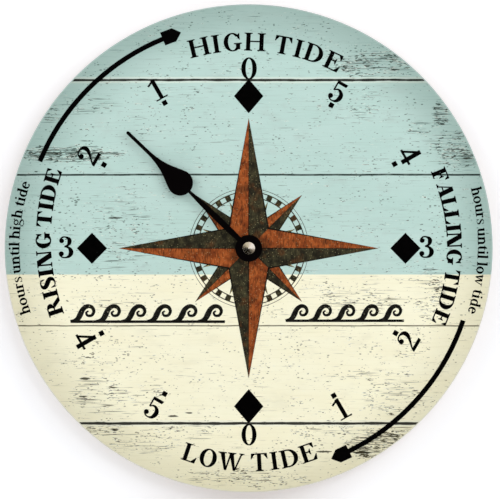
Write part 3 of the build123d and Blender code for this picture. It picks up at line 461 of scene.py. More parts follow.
def cell_jacket():
    """Grey printed can with bare steel at both ends of the cell."""
    low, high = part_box("battery_cell")
    paint = Paint("cell_can", roughness=0.3)
    x = paint.axes()[0]
    bare = paint.rise(paint.away(x, (low.x + high.x) / 2 - 0.6 * mm), 23.6 * mm, 23.7 * mm)
    body = paint.over("35383D", "A9ABA8", x, high.x - 14.2 * mm, high.x - 14 * mm)
    smear = paint.noise(3, detail=4)
    body = paint.over(body, "6C6E70", smear, 0.4, 0.7, 0.12)
    paint.set("Metallic", paint.rise(bare, 0, 1, 0.25, 1))
    paint.gloss(smear, 0.26, 0.38)
    return paint.finished(paint.mix(bare, body, "BFBDB8"), paint.noise(0.6), 0.006, 0.3)


def circuit_laminate():
    """Green solder mask with the weave of the glass beneath and paler tracks."""
    paint = Paint("circuit_laminate", roughness=0.35)
    x, _, z = paint.axes()
    weave = paint.times(paint.sine(x, 0.5), paint.sine(z, 0.5))
    tracks = paint.cells(3.4, 3.4, 30, feature="DISTANCE_TO_EDGE")
    colour = paint.over("14532B", "1E6B3A", weave, -1, 1, 0.4)
    colour = paint.over(colour, "3C9A5C", tracks, 0.1, 0.07, 0.8)
    return paint.finished(colour, paint.rise(weave, -1, 1), 0.01, 0.3)


black_print = speckled_print("black_print", "010101", "040303", 0.02)
slot_materials = {
    "fibreboard": fibreboard(),
    "printed_sheet": printed_boards(),
    "black_ink": black_print,
    "black_metal": lacquered_metal(),
    "polished_steel": polished_steel(),
    "zinc_steel": rolled_metal("zinc_steel", "9EA2A6", "C6C9CB", 0.34),
    "brass": rolled_metal("turned_brass", "B88E3E", "DDB868", 0.26),
    "spring_bronze": rolled_metal("spring_bronze", "A8683C", "CB8C5A", 0.3),
    "black_rubber": moulded("black_rubber", "16161A", "202023", 0.82, specular=0.25),
    "black_plastic": moulded("black_plastic", "18181A", "222225", 0.55),
    "white_gear_plastic": moulded("gear_acetal", "E4E1D4", "F0EEE4", 0.42, relief=0.01),
    "magnet": moulded("sintered_magnet", "3A3A3D", "515155", 0.5),
    "magnet_iron": rolled_metal("soft_iron", "77787A", "9A9B9C", 0.42),
    "coil_plastic": moulded("coil_nylon", "2F5E9E", "3B6CAD", 0.45, relief=0.01),
    "copper_wire": wound_copper(),
    "circuit_laminate": circuit_laminate(),
    "chip_resin": moulded("chip_resin", "0C0C0D", "151517", 0.25, specular=0.5),
    "cell_jacket": cell_jacket(),
}


def dress_nodes():
    """Give each modelled node the material of its slot."""
    for part in frame["record"]["subparts"]:
        mesh = nodes[part["node"]].data
        mesh.materials.clear()
        mesh.materials.append(slot_materials[part["material_slot"]])


# Pens of the legend: their strokes and serifs as shares of a letter's height
Pen = namedtuple("Pen", "stem thin serif foot bracket")
plain_pen = Pen(0.235, 0.075, 0.11, 0.055, 0.055)
bold_pen = Pen(0.285, 0.085, 0.1, 0.07, 0.06)
small_pen = Pen(0.178, 0.088, 0.08, 0.055, 0.035)
x_height = 0.67
space_width = 0.26


def bar(left, right, low, high):
    """Upright rectangle."""
    return [(left, low), (right, low), (right, high), (left, high)]


def disc(x, y, radius, sides=20):
    """Round dot."""
    turns = [math.tau * n / sides for n in range(sides)]
    return [(x + radius * math.cos(turn), y + radius * math.sin(turn)) for turn in turns]


def strips(left_side, right_side):
    """Four-cornered pieces between two lines of points."""
    pairs = list(zip(left_side, right_side))
    return [[a, b, d, c] for (a, b), (c, d) in zip(pairs, pairs[1:])]


def bowl(x, y, half_width, half_height, start, end, heavy, light, steps=36):
    """Part of an oval stroke, from start to end in degrees, heavy at its sides and light at its ends."""
    count = max(3, round(steps * abs(end - start) / 360))
    turns = [math.radians(start + (end - start) * n / count) for n in range(count + 1)]
    outer_and_inner = ((half_width, half_height), (half_width - heavy, half_height - light))
    return strips(*([(x + w * math.cos(t), y + h * math.sin(t)) for t in turns] for w, h in outer_and_inner))


def between(p, q, r, s, t):
    """Value at t, from 0 to 1, on a smooth curve from q to r that comes from p and goes on to s."""
    bend = 2 * p - 5 * q + 4 * r - s
    twist = 3 * q - p - 3 * r + s
    return 0.5 * (2 * q + (r - p) * t + bend * t * t + twist * t ** 3)


def brush(points, steps=7):
    """Stroke through (x, y, width) points on a smooth curve."""
    ends = [points[0], *points, points[-1]]
    path = []
    for four in zip(ends, ends[1:], ends[2:], ends[3:]):
        path += [[between(*values, step / steps) for values in zip(*four)] for step in range(steps)]
    path.append(points[-1])
    left_side, right_side = [], []
    for behind, (x, y, width), ahead in zip([path[0], *path], path, [*path[1:], path[-1]]):
        run, rise = ahead[0] - behind[0], ahead[1] - behind[1]
        length = math.hypot(run, rise) or 1
        across = (-rise / length * width / 2, run / length * width / 2)
        left_side.append((x + across[0], y + across[1]))
        right_side.append((x - across[0], y - across[1]))
    return strips(left_side, right_side)


def serif(pen, x, y, half, upward, sides="both"):
    """Thin slab at a stem's end, with a small curved bracket on each side."""
    slab = y + pen.foot * upward
    rows = [(1 - n / 4) for n in range(5)]
    right = [(x + half + pen.serif * t * t, slab + pen.bracket * (1 - t) ** 2 * upward) for t in rows]
    left = [(x - half - pen.serif * t * t, slab + pen.bracket * (1 - t) ** 2 * upward) for t in rows]
    if sides == "left":
        right = [(x + half, slab)]
    if sides == "right":
        left = [(x - half, slab)]
    return [(left[0][0], y), (right[0][0], y), *right, *left[::-1]]


def pillar(pen, x, high=1, foot="both", head="both", width=None):
    """Upright stem with serifs; foot and head are both, left, right or None."""
    half = (width or pen.stem) / 2
    shapes = [bar(x - half, x + half, 0, high)]
    if foot:
        shapes.append(serif(pen, x, 0, half, 1, foot))
    if head:
        shapes.append(serif(pen, x, high, half, -1, head))
    return shapes


def slope(x_low, x_high, width, low=0, high=1):
    """Slanted straight stroke with level ends."""
    return [(x_low, low), (x_low + width, low), (x_high + width, high), (x_high, high)]


def arms(pen, top, middle, bottom):
    """Level arms of E, F and L, with tapered ends; a reach of 0 leaves an arm out."""
    thin = pen.thin
    kinds = (
        (top, 1 - thin, ((0, 1), (-0.2, 1), (-0.2, 1 - thin), (-0.05, 0.7), (0, 0.7))),
        (middle, 0.5, (
            (0, 0.36), (0, 0.7), (-0.035, 0.7), (-0.12, 0.5 + thin), (-0.12, 0.5), (-0.035, 0.36),
        )),
        (bottom, 0, ((0, 0), (0.05, 0.34), (0, 0.34), (-0.22, thin), (-0.22, 0))),
    )
    shapes = []
    for reach, low, end in kinds:
        if reach:
            shapes += [bar(0.2, reach, low, low + thin), [(reach + x, y) for x, y in end]]
    return shapes


def vees(places, wide, thin, inside, outside, high):
    """The two halves of a W: for each start, foot and end, a wide stroke down and a thin one up."""
    shapes = []
    for start, foot, end in places:
        shapes.append([(start, high), (start + wide, high), (foot + inside, 0), (foot - outside, 0)])
        shapes.append([(foot, 0), (foot + inside, 0), (end + thin, high), (end - thin, high)])
    return shapes


def s_curve(pen, height, width):
    """The spine of S, and its two tapered ends."""
    scale = pen.stem / 0.185
    spine = (
        (0.62, 0.74, 0.03), (0.57, 0.89, 0.045), (0.46, 0.965, 0.055), (0.33, 0.965, 0.07),
        (0.205, 0.885, 0.13), (0.175, 0.76, 0.17), (0.24, 0.64, 0.19), (0.38, 0.53, 0.2), (0.53, 0.41, 0.195),
        (0.6, 0.27, 0.17), (0.55, 0.12, 0.13), (0.41, 0.035, 0.06), (0.27, 0.035, 0.05), (0.15, 0.12, 0.04),
        (0.1, 0.29, 0.03),
    )
    tips = (
        [(0.575, 0.99), (0.61, 0.99), (0.64, 0.68), (0.605, 0.68), (0.53, 0.85)],
        [(0.08, 0.33), (0.115, 0.33), (0.2, 0.14), (0.145, 0.01), (0.105, 0.01)],
    )
    points = [(x * width, y * height, w * scale * min(width, height)) for x, y, w in spine]
    return brush(points) + [[(x * width, y * height) for x, y in tip] for tip in tips]


def big_a(pen):
    width = pen.stem * 1.15
    return 1.12, [
        slope(0.94 - width, 0.47, width * 0.95), slope(0.15, 0.5, pen.thin),
        bar(0.26, 0.72, 0.29, 0.29 + pen.thin), serif(pen, 0.17, 0, pen.thin / 2, 1),
        serif(pen, 0.94 - width / 2, 0, width / 2, 1),
    ]


def big_d(pen):
    return 1.06, [
        *pillar(pen, 0.2, foot="left", head="left"),
        bar(0.2, 0.44, 0, pen.thin), bar(0.2, 0.44, 1 - pen.thin, 1),
        *bowl(0.43, 0.5, 0.59, 0.5, -90, 90, pen.stem * 1.08, pen.thin),
    ]


def big_e(pen):
    return 0.96, [*pillar(pen, 0.2, foot="left", head="left"), *arms(pen, 0.84, 0.6, 0.86)]


def big_f(pen):
    return 0.88, [*pillar(pen, 0.2, head="left"), *arms(pen, 0.82, 0.6, 0)]


def big_g(pen):
    half = pen.stem / 2
    return 1.04, [
        *bowl(0.52, 0.5, 0.49, 0.52, 42, 318, pen.stem * 1.05, pen.thin),
        [(0.93, 0.99), (0.9, 0.99), (0.8, 0.88), (0.74, 0.84), (0.9, 0.62), (0.94, 0.62)],
        bar(0.82 - half, 0.82 + half, 0.08, 0.42), serif(pen, 0.82, 0.44, half, -1),
    ]


def big_h(pen):
    return 1.12, [*pillar(pen, 0.19), *pillar(pen, 0.93), bar(0.19, 0.93, 0.49, 0.49 + pen.thin)]


def big_i(pen):
    return 0.48, pillar(pen, 0.24)


def big_l(pen):
    return 0.9, [*pillar(pen, 0.2, foot="left"), *arms(pen, 0, 0, 0.8)]


def big_n(pen):
    width = pen.stem * 1.25
    thin = pen.thin * 1.2
    return 1.16, [
        *pillar(pen, 0.19, width=thin), *pillar(pen, 0.96, foot=None, width=thin),
        slope(0.99 - width, 0.12, width),
    ]


def big_o(pen):
    return 1.06, bowl(0.53, 0.5, 0.5, 0.52, 0, 360, pen.stem * 1.08, pen.thin)


def big_r(pen):
    return 1.08, [
        *pillar(pen, 0.2, head="left"),
        bar(0.2, 0.45, 1 - pen.thin, 1), bar(0.2, 0.45, 0.48, 0.48 + pen.thin),
        *bowl(0.43, 0.74, 0.36, 0.26, -90, 90, pen.stem * 1.02, pen.thin),
        slope(0.8, 0.42, pen.stem * 1.1, 0.02, 0.52), bar(0.8, 0.86 + pen.stem + 0.05, 0, pen.foot),
    ]


def big_s(pen):
    return 0.8, s_curve(pen, 1, 1.1)


def big_t(pen):
    bottom = 1 - pen.thin
    return 0.98, [
        *pillar(pen, 0.49, head=None), bar(0.03, 0.95, bottom, 1),
        [(0.03, 1), (0, 0.68), (0.035, 0.68), (0.22, bottom), (0.22, 1)],
        [(0.95, 1), (0.76, 1), (0.76, bottom), (0.945, 0.68), (0.98, 0.68)],
    ]


def big_w(pen):
    places = ((0.1, 0.44, 0.74), (0.62, 0.96, 1.36))
    half = pen.stem * 0.56
    return 1.48, [
        *vees(places, pen.stem * 1.12, pen.thin * 0.7, 0.09, 0.04, 1),
        serif(pen, 0.1 + half, 1, half, -1), serif(pen, 0.66 + half, 1, half, -1),
        serif(pen, 1.36, 1, pen.thin / 2, -1),
    ]


def flag(pen, x, high):
    """Slanted serif at the top left of a small letter's stem."""
    half = pen.stem / 2
    return [(x - half - pen.serif, high - 0.075), (x - half, high - 0.13), (x + half, high), (x, high)]


def small_stem(pen, x=0.17, high=x_height, foot="both"):
    """Stem of a small letter, with a slanted serif at its top."""
    return [*pillar(pen, x, high, foot, None), flag(pen, x, high)]


def small_bowl(pen, x, half_width, start=0, end=360):
    """Round stroke of a small letter."""
    half_height = x_height / 2
    return bowl(x, half_height, half_width, half_height + 0.01, start, end, pen.stem, pen.thin)


def arched(pen, high):
    """Small h or n: a stem of this height, and a low one joined to it by a round shoulder."""
    top = x_height
    return 0.7, [
        *small_stem(pen, high=high), *pillar(pen, 0.53, top - 0.22, head=None),
        *brush((
            (0.19, top - 0.2, pen.thin), (0.27, top - 0.08, pen.thin), (0.38, top - 0.035, pen.thin * 1.5),
            (0.5, top - 0.12, pen.stem * 0.85), (0.53, top - 0.26, pen.stem),
        )),
    ]


def small_d(pen):
    return 0.68, [*small_bowl(pen, 0.31, 0.27, 50, 310), *small_stem(pen, 0.51, 1, "right")]


def small_e(pen):
    return 0.6, [*small_bowl(pen, 0.31, 0.28, 4, 320), bar(0.12, 0.57, 0.345, 0.345 + pen.thin)]


def small_g(pen):
    tail = (
        (0.2, 0.27, 0.04), (0.13, 0.18, 0.05), (0.18, 0.11, 0.1), (0.34, 0.08, 0.12), (0.5, 0, 0.12),
        (0.53, -0.13, 0.09), (0.38, -0.24, 0.05), (0.18, -0.24, 0.05), (0.07, -0.13, 0.08),
        (0.1, -0.01, 0.06), (0.22, 0.08, 0.05),
    )
    return 0.62, [
        *bowl(0.29, 0.455, 0.23, 0.225, 0, 360, 0.11, pen.thin),
        *brush(((0.42, 0.58, 0.05), (0.49, 0.645, 0.06), (0.57, 0.63, 0.085))), *brush(tail),
    ]


def small_h(pen):
    return arched(pen, 1)


def small_i(pen):
    return 0.34, [*small_stem(pen), disc(0.16, 0.9, 0.085)]


def small_l(pen):
    return 0.34, small_stem(pen, high=1)


def small_n(pen):
    return arched(pen, x_height)


def small_o(pen):
    return 0.64, small_bowl(pen, 0.32, 0.3)


def small_r(pen):
    arm = ((0.19, 0.46, 0.05), (0.27, 0.59, 0.06), (0.36, 0.63, 0.08))
    return 0.5, [*small_stem(pen), *brush(arm), disc(0.38, 0.585, 0.075)]


def small_s(pen):
    return 0.5, s_curve(pen._replace(stem=0.185), x_height, 0.7)


def small_t(pen):
    left, right = 0.2 - pen.stem / 2, 0.2 + pen.stem / 2
    hook = ((0.2, 0.26, pen.stem), (0.225, 0.1, pen.stem * 0.8), (0.31, 0.035, 0.07), (0.41, 0.1, 0.035))
    return 0.44, [
        [(left, 0.18), (right, 0.18), (right, 0.88), (0.2, 0.84), (left, 0.7)],
        bar(0.04, 0.4, x_height - 0.065, x_height), *brush(hook),
    ]


def small_u(pen):
    half = pen.stem / 2
    return 0.7, [
        bar(0.17 - half, 0.17 + half, 0.18, x_height), flag(pen, 0.17, x_height),
        *small_stem(pen, 0.53, foot="right"),
        *brush((
            (0.17, 0.26, pen.stem), (0.2, 0.11, pen.stem * 0.85), (0.31, 0.04, 0.08), (0.43, 0.09, 0.06),
            (0.5, 0.19, 0.05),
        )),
    ]


def small_w(pen):
    places = ((0.05, 0.25, 0.43), (0.37, 0.58, 0.84))
    return 0.96, [
        *vees(places, pen.stem * 1.1, pen.thin / 2, 0.05, 0.03, x_height),
        *(bar(x - 0.13, x + 0.13, x_height - pen.foot, x_height) for x in (0.13, 0.44, 0.84)),
    ]


letters = dict(zip("ADEFGHILNORSTWdeghilnorstuw", (
    big_a, big_d, big_e, big_f, big_g, big_h, big_i, big_l, big_n, big_o, big_r, big_s, big_t, big_w,
    small_d, small_e, small_g, small_h, small_i, small_l, small_n, small_o, small_r, small_s, small_t,
    small_u, small_w,
)))

# Shapes of the figures 0 to 5, and their common width
figure_width = 0.7
figures = (
    bowl(0.35, 0.5, 0.335, 0.51, 0, 360, 0.19, 0.062),
    [
        bar(0.262, 0.438, 0, 0.99), bar(0.07, 0.63, 0, 0.06),
        [(0.04, 0.83), (0.08, 0.755), (0.27, 0.85), (0.43, 0.99), (0.36, 1)],
    ],
    [
        disc(0.15, 0.745, 0.115),
        *brush((
            (0.085, 0.8, 0.07), (0.17, 0.925, 0.07), (0.33, 0.965, 0.075), (0.495, 0.885, 0.15),
            (0.55, 0.74, 0.19), (0.485, 0.56, 0.15), (0.33, 0.37, 0.09), (0.17, 0.2, 0.065),
            (0.08, 0.08, 0.06),
        )),
        [(0.045, 0), (0.65, 0), (0.675, 0.155), (0.13, 0.155), (0.05, 0.08)],
    ],
    [
        disc(0.16, 0.795, 0.105), disc(0.145, 0.205, 0.11),
        *brush((
            (0.09, 0.84, 0.06), (0.19, 0.955, 0.068), (0.33, 0.965, 0.07), (0.47, 0.88, 0.155),
            (0.495, 0.75, 0.18), (0.43, 0.6, 0.11), (0.28, 0.535, 0.055),
        )),
        *brush((
            (0.28, 0.535, 0.055), (0.45, 0.49, 0.1), (0.55, 0.36, 0.18), (0.555, 0.22, 0.195),
            (0.475, 0.09, 0.13), (0.33, 0.035, 0.065), (0.18, 0.055, 0.065), (0.08, 0.15, 0.07),
        )),
    ],
    [
        bar(0.405, 0.595, 0, 1), bar(0.01, 0.75, 0.215, 0.325),
        [(0.01, 0.215), (0.12, 0.215), (0.595, 1), (0.47, 1)],
    ],
    [
        disc(0.145, 0.205, 0.11), bar(0.115, 0.185, 0.5, 0.95),
        [(0.115, 1), (0.115, 0.85), (0.57, 0.85), (0.61, 1)],
        *brush((
            (0.15, 0.5, 0.05), (0.27, 0.6, 0.075), (0.41, 0.59, 0.12), (0.53, 0.46, 0.18),
            (0.545, 0.28, 0.195), (0.47, 0.105, 0.135), (0.32, 0.035, 0.065), (0.18, 0.055, 0.065),
            (0.08, 0.15, 0.07),
        )),
    ],
)


def united(shapes, least_area=1e-9, merge_distance=1e-6):
    """Triangles that cover all the shapes once, as (points, triangles)."""
    points, faces = [], []
    for shape in shapes:
        area = sum(x1 * y2 - x2 * y1 for (x1, y1), (x2, y2) in zip(shape, [*shape[1:], shape[0]]))
        if abs(area) < least_area:
            continue
        corners = shape if area > 0 else shape[::-1]
        faces.append(list(range(len(points), len(points) + len(corners))))
        points += [Vector(corner) for corner in corners]
    points, _, triangles, _, _, sources = delaunay_2d_cdt(points, [], faces, 1, merge_distance)
    return points, [triangle for triangle, source in zip(triangles, sources) if source]


def placed(shapes, origin, right, up):
    """United shapes carried to the dial, as (points, triangles) in X and Z."""
    points, triangles = united(shapes)
    origin, right, up = Vector(origin), Vector(right), Vector(up)
    return [origin + right * point.x + up * point.y for point in points], triangles


def flat_patch(shapes):
    """United shapes given in millimetres, as (points, triangles) in X and Z."""
    return placed(shapes, (0, 0), (mm, 0), (0, mm))


def new_object(name, data):
    """A new object in the scene."""
    item = bpy.data.objects.new(name, data)
    scene.collection.objects.link(item)
    return item


def new_mesh(name, vertices, faces, material):
    """A mesh of one material."""
    mesh = bpy.data.meshes.new(name)
    mesh.from_pydata(vertices, [], faces)
    mesh.materials.append(material)
    return mesh


def raised(name, patches, material, front, back):
    """Closed thin solid of flat patches, from front to back in Y, that rides the clock's body."""
    vertices, faces = [], []
    for points, triangles in patches:
        start = len(vertices)
        count = len(points)
        vertices += [(x, y, z) for y in (front, back) for x, z in points]
        edges = {(a, b) for t in triangles for a, b in zip(t, [*t[1:], t[0]])}
        for triangle in triangles:
            faces.append([start + corner for corner in triangle])
            faces.append([start + count + corner for corner in reversed(triangle)])
        for a, b in edges:
            if (b, a) not in edges:
                faces.append([start + a, start + count + a, start + count + b, start + b])
    mesh = new_mesh(name, vertices, faces, material)
    mesh.validate()
    piece = new_object(name, mesh)
    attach(piece, "clock")


def printed(name, patches, material=black_print, layer=1):
    """Flat patches of print on the dial; layer is their height as a share of the ink's."""
    raised(name, patches, material, sheet_front + (print_front - sheet_front) * layer, sheet_front)


def direction(angle):
    """Unit vector at a dial angle."""
    return Vector((math.sin(math.radians(angle)), math.cos(math.radians(angle))))


def on_dial(glyph, angle, radius, height, outward, stretch, centre=(0, 0)):
    """A glyph (width, shapes) on a baseline of this radius and centre, its top away from it or towards it."""
    width, shapes = glyph
    up = direction(angle)
    right = direction(angle + 90)
    origin = up * radius + Vector(centre)
    if not outward:
        up, right = -up, -right
    right = right * height * stretch
    return placed(shapes, origin - right * width / 2, right, up * height)


def spread_word(text, pen, start, end, sizes):
    """A word spread evenly from start to end in degrees; sizes are what on_dial takes after the angle."""
    radius, height, _, stretch, _ = sizes
    glyphs = [letters[letter](pen) if letter != " " else (space_width, []) for letter in text]
    spare = math.radians(abs(end - start)) * radius - sum(width for width, _ in glyphs) * height * stretch
    gap = spare / (len(text) - 1)
    patches = []
    travelled = 0
    for width, shapes in glyphs:
        wide = width * height * stretch
        turned = math.degrees((travelled + wide / 2) / radius)
        angle = start + math.copysign(turned, end - start)
        if shapes:
            patches.append(on_dial((width, shapes), angle, *sizes))
        travelled += wide + gap
    return patches


# Legend round the dial: pen, baseline radius, height, whether its tops point outward, stretch, its
# circle's centre, and its words with the angles where they start and end. Lengths are in millimetres.
legend = {
    "high_tide": (plain_pen, 120.5, 11, True, 1, (-1.6, 0.9), (
        ("HIGH", 343.8, 365.4), ("TIDE", 367.8, 387.9),
    )),
    "low_tide": (plain_pen, 118.8, 11, False, 0.96, (0.2, -18.3), (
        ("LOW", 200.6, 182), ("TIDE", 179.3, 158.7),
    )),
    "rising_tide": (bold_pen, 128.4, 9.3, True, 1.04, (6.9, 5.3), (
        ("RISING", 249.6, 272), ("TIDE", 273.3, 289.3),
    )),
    "falling_tide": (bold_pen, 111, 9.2, True, 1, (10.8, 0.7), (
        ("FALLING", 65.6, 95.4), ("TIDE", 96.8, 114.4),
    )),
    "hours_until_high_tide": (small_pen, 117.1, 6.6, True, 1.2, (-23.8, 0.5), (
        ("hours until high tide", 250, 289.8),
    )),
    "hours_until_low_tide": (small_pen, 139.6, 6.6, True, 1.16, (1.2, 2.2), (
        ("hours until low tide", 75.6, 107.4),
    )),
}


def lettering():
    """The legend, word by word."""
    for name, (pen, radius, height, outward, stretch, centre, words) in legend.items():
        sizes = (radius * mm, height * mm, outward, stretch, Vector(centre) * mm)
        patches = []
        for text, start, end in words:
            patches += spread_word(text, pen, start, end, sizes)
        printed(f"legend_{name}", patches)


def numerals():
    """Hours to the next tide: 5 to 0 down each side of the dial."""
    patches = []
    for angle, figure, right, up in slanted_numerals:
        outward = math.cos(math.radians(angle)) > 0
        baseline = numeral_radius - numeral_height / 2 * (1 if outward else -1)
        glyph = (figure_width, figures[figure])
        points, triangles = on_dial(glyph, angle, baseline, numeral_height, outward, numeral_stretch)
        shift = Vector((right * mm, up * mm))
        patches.append(([point + shift for point in points], triangles))
    for figure, x, z, height in upright_numerals:
        wide = height * numeral_stretch
        origin = ((x - figure_width * wide / 2) * mm, (z - height / 2) * mm)
        patches.append(placed(figures[figure], origin, (wide * mm, 0), (0, height * mm)))
    printed("numerals", patches)


def wave_scroll(name, left, right, low, high, count, material):
    """Traditional running wave border of count waves; its sides are given in millimetres."""
    wave = (
        (-0.06, 0.08, 0.16), (0.1, 0.12, 0.2), (0.24, 0.24, 0.27), (0.33, 0.46, 0.3), (0.43, 0.72, 0.26),
        (0.6, 0.88, 0.22), (0.78, 0.83, 0.19), (0.86, 0.62, 0.17), (0.78, 0.41, 0.15), (0.62, 0.39, 0.13),
        (0.56, 0.54, 0.11), (0.65, 0.63, 0.08),
    )
    period = (right - left) / count
    height = high - low
    shapes = [bar(left, right, low, low + height * wave_base)]
    for place in range(count):
        origin = left + period * place
        shapes += brush([(origin + x * period, low + y * height, w * height) for x, y, w in wave], steps=5)
    printed(name, [flat_patch(shapes)], material)


def stroke(start, end, width):
    """Straight stroke from start to end, pointed at its end."""
    across = (end - start).orthogonal().normalized() * width / 2
    return [tuple(corner) for corner in (start - across, end, start + across)]


def ring(inner, outer, start=0, end=360, steps=120):
    """Flat ring, or part of one, about the dial's centre."""
    count = max(2, round(steps * (end - start) / 360))
    turns = [direction(start + (end - start) * n / count) for n in range(count + 1)]
    return strips([tuple(turn * outer) for turn in turns], [tuple(turn * inner) for turn in turns])


def compass_rose():
    """Compass rose in the middle of the dial, in the dark and rusty tones of an old chart."""
    dark = etched_print("rose_dark", "24221A", "47432F", "5A3B22")
    rust = etched_print("rose_rust", "7E3D1E", "AE5C2D", "5E361E")
    khaki = etched_print("rose_khaki", "938A5B", "B9AC74", "94713F")
    line = etched_print("rose_line", "0E0D0A", "1E1C15", "24180F")

    # Each group: name, angles, length, angle and reach of its shoulders, tint and layer
    groups = (
        ("half_winds", [22.5 + 45 * n for n in range(8)], 31, 22.5, 9, khaki, 0.5),
        ("quarter_winds", [45 + 90 * n for n in range(4)], 46.5, 32, 13.5, rust, 0.65),
        ("main_winds", [90 * n for n in range(4)], 80, 45, 17, rust, 0.8),
    )
    for name, angles, length, shoulder_angle, shoulder_reach, light, layer in groups:
        sides = {-1: [], 1: []}
        lines = []
        for angle in angles:
            tip = direction(angle) * length
            lines.append(stroke(Vector((0, 0)), tip, rose_middle_stroke))
            for side, facets in sides.items():
                shoulder = direction(angle + side * shoulder_angle) * shoulder_reach
                facets.append([(0, 0), tuple(shoulder), tuple(tip)])
                lines.append(stroke(shoulder * rose_side_start, tip, rose_side_stroke))
        strokes = [flat_patch([shape]) for shape in lines]
        printed(f"rose_{name}_lit", [flat_patch(sides[-1])], light, layer)
        printed(f"rose_{name}_shaded", [flat_patch(sides[1])], dark, layer)
        printed(f"rose_{name}_lines", strokes, line, layer + rose_line_rise)

    shapes = []
    for inner, outer in rose_bands:
        shapes += ring(inner, outer)
    half = rose_block_half_angle
    for block in range(rose_blocks):
        middle = 360 / rose_blocks * block
        shapes += ring(rose_bands[0][1], rose_bands[1][0], middle - half, middle + half)
    printed("rose_ring", [flat_patch(shapes)], dark, rose_ring_layer)


def rear_marks():
    """Pale print on the rear cover: which way round the cell goes, and that the knob turns."""
    pale = moulded("pale_marks", "B4B5B5", "C6C7C6", 0.5, relief=0.005, specular=0.2)
    knob_low, knob_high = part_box("setting_knob")
    cell_low, cell_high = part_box("battery_cell")
    cover_low, cover_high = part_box("case_back")
    middle = Vector(((knob_low.x + knob_high.x) / 2, (knob_low.z + knob_high.z) / 2)) / mm
    thick = mark_line / 2
    shapes = ring(mark_radius - thick, mark_radius + thick, -mark_half_turn, mark_half_turn)
    for side in (-1, 1):
        outward = direction(mark_half_turn * side)
        root = outward * mark_radius
        ahead = direction(mark_tip_turn * side) * mark_radius
        across = outward * mark_line * mark_head
        shapes.append([tuple(root - across), tuple(ahead), tuple(root + across)])
    arrow = [[tuple(Vector(corner) + middle) for corner in shape] for shape in shapes]
    level = cover_low.z / mm + mark_rise
    half = mark_size / 2
    right, left = cell_high.x / mm - mark_inset, cell_low.x / mm + mark_inset
    minus = [bar(left - half, left + half, level - thick, level + thick)]
    plus = [bar(right - half, right + half, level - thick, level + thick),
            bar(right - thick, right + thick, level - half, level + half)]
    for name, shapes in (("turning_arrow", arrow), ("plus_mark", plus), ("minus_mark", minus)):
        raised(name, [flat_patch(shapes)], pale, cover_high.y, cover_high.y + mark_relief)


def lamp(name, place, target, size, level):
    """Soft square lamp that lights a surface facing -Y or +Y at the target to this level."""
    light = bpy.data.lights.new(name, "AREA")
    light.size = size
    away = Vector(target) - Vector(place)
    slant = abs(away.y) / away.length
    light.energy = level * math.pi ** 2 * away.length_squared / slant
    item = new_object(name, light)
    item.location = place
    item.rotation_mode = "QUATERNION"
    item.rotation_quaternion = away.to_track_quat("-Z", "Y")
    item.visible_camera = False


def seen_rays(tree):
    """1 for camera, glossy and transmission rays, and 0 for the rays that light the object."""
    path = add_node(tree, "LightPath", {})
    total = path["Is Camera Ray"]
    for name in ("Is Glossy Ray", "Is Transmission Ray"):
        total = add_node(tree, "Math", {0: total, 1: path[name]}, operation="MAXIMUM")[0]
    return total


def sky():
    """Even light all round, seen as white."""
    world = bpy.data.worlds.new("sky")
    scene.world = world
    world.use_nodes = True
    tree = world.node_tree
    background = tree.nodes["Background"]
    background.inputs["Color"].default_value = (1, 1, 1, 1)
    strength = add_node(tree, "MapRange", {"Value": seen_rays(tree), "To Min": sky_level, "To Max": 1})[0]
    give(tree, strength, background.inputs["Strength"])


def flat_stage(name, corners, material, unseen=()):
    """One-faced sheet that isn't part of the object, and that these kinds of rays don't see."""
    sheet = new_object(name, new_mesh(name, corners, [list(range(len(corners)))], material))
    for rays in unseen:
        setattr(sheet, f"visible_{rays}", False)


def bare_material(name):
    """A material, and its node tree without nodes."""
    material = bpy.data.materials.new(name)
    material.use_nodes = True
    material.node_tree.nodes.clear()
    return material, material.node_tree


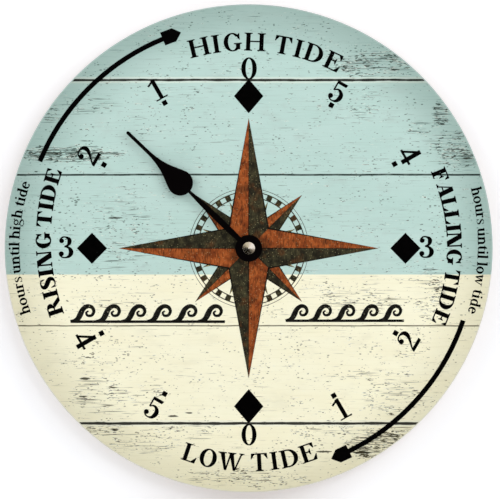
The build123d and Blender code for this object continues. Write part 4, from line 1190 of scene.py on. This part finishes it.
def backdrop_material(name, colour, glow, far_glow, one_sided=False):
    """Pale matt surface with a glow for seen rays, near and far away; one_sided leaves its back clear."""
    material, tree = bare_material(name)
    place = add_node(tree, "TexCoord", {})["Object"]
    reach = add_node(tree, "VectorMath", {0: place}, operation="LENGTH")["Value"]
    limits = {"From Min": near_reach, "From Max": far_reach, "To Min": glow, "To Max": far_glow}
    glows = add_node(tree, "MapRange", {"Value": reach, **limits})[0]
    strength = add_node(tree, "Math", {0: seen_rays(tree), 1: glows}, operation="MULTIPLY")[0]
    diffuse = add_node(tree, "BsdfDiffuse", {"Color": colour})[0]
    emission = add_node(tree, "Emission", {"Color": colour, "Strength": strength})[0]
    result = add_node(tree, "AddShader", {0: diffuse, 1: emission})[0]
    if one_sided:
        behind = add_node(tree, "NewGeometry", {})["Backfacing"]
        clear = add_node(tree, "BsdfTransparent", {})[0]
        result = add_node(tree, "MixShader", {0: behind, 1: result, 2: clear})[0]
    add_node(tree, "OutputMaterial", {"Surface": result})
    return material


def backdrop():
    """Pale floor below, and the wall that the clock hangs on."""
    side = floor_half_width
    floor = [(x, y, floor_height) for x, y in bar(-side, side, -side, side)]
    flat_stage("floor", floor, backdrop_material("floor_white", "F7F7F7", glow=0.3, far_glow=1))
    side = wall_half_width
    wall = [(x, wall_gap, z) for x, z in bar(-side, side, floor_height, wall_top)]
    wall_white = backdrop_material("wall_white", "F0F2F6", glow=0.32, far_glow=0.32, one_sided=True)
    flat_stage("wall", wall, wall_white, ("diffuse", "glossy", "transmission", "shadow"))


def reflected_cards():
    """Ring of glowing pale and dark cards round the cap nut, which only polished metal sees: painted
    reflections of light and shade on the nut.
    """
    apex = Vector((0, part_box("cap_nut")[0].y, 0))
    near, far = card_leans
    for start, end, colour in cards:
        corners = []
        for angle, lean in ((start, near), (start, far), (end, far), (end, near)):
            across = direction(angle) * math.sin(math.radians(lean))
            corners.append(apex + card_distance * Vector((across.x, -math.cos(math.radians(lean)), across.y)))
        material, tree = bare_material(f"card_{start}")
        # Each card glows in its colour as a painted reflection in the nut; it is no lamp.
        add_node(tree, "OutputMaterial", {"Surface": add_node(tree, "Emission", {"Color": colour})[0]})
        flat_stage(f"card_{start}", corners, material, ("camera", "diffuse", "transmission", "shadow"))


def camera():
    """Long lens straight in front of the dial."""
    view = bpy.data.cameras.new("camera")
    view.sensor_width = sensor_width
    view.lens = sensor_width * view_distance / view_width
    eye = new_object("camera", view)
    eye.location = (view_centre[0], sheet_front - view_distance, view_centre[1])
    eye.rotation_euler = (math.pi / 2, 0, 0)
    scene.camera = eye


scene.view_settings.view_transform = "Standard"
dress_nodes()
lettering()
numerals()
worn_print = speckled_print("worn_black_print", "11110F", "24231E", 0.09)
for border, sides in wave_borders.items():
    wave_scroll(border, *sides, worn_print)
compass_rose()
rear_marks()
sky()
for lamp_name, lamp_settings in lamps.items():
    lamp(lamp_name, *lamp_settings)
backdrop()
reflected_cards()
camera()
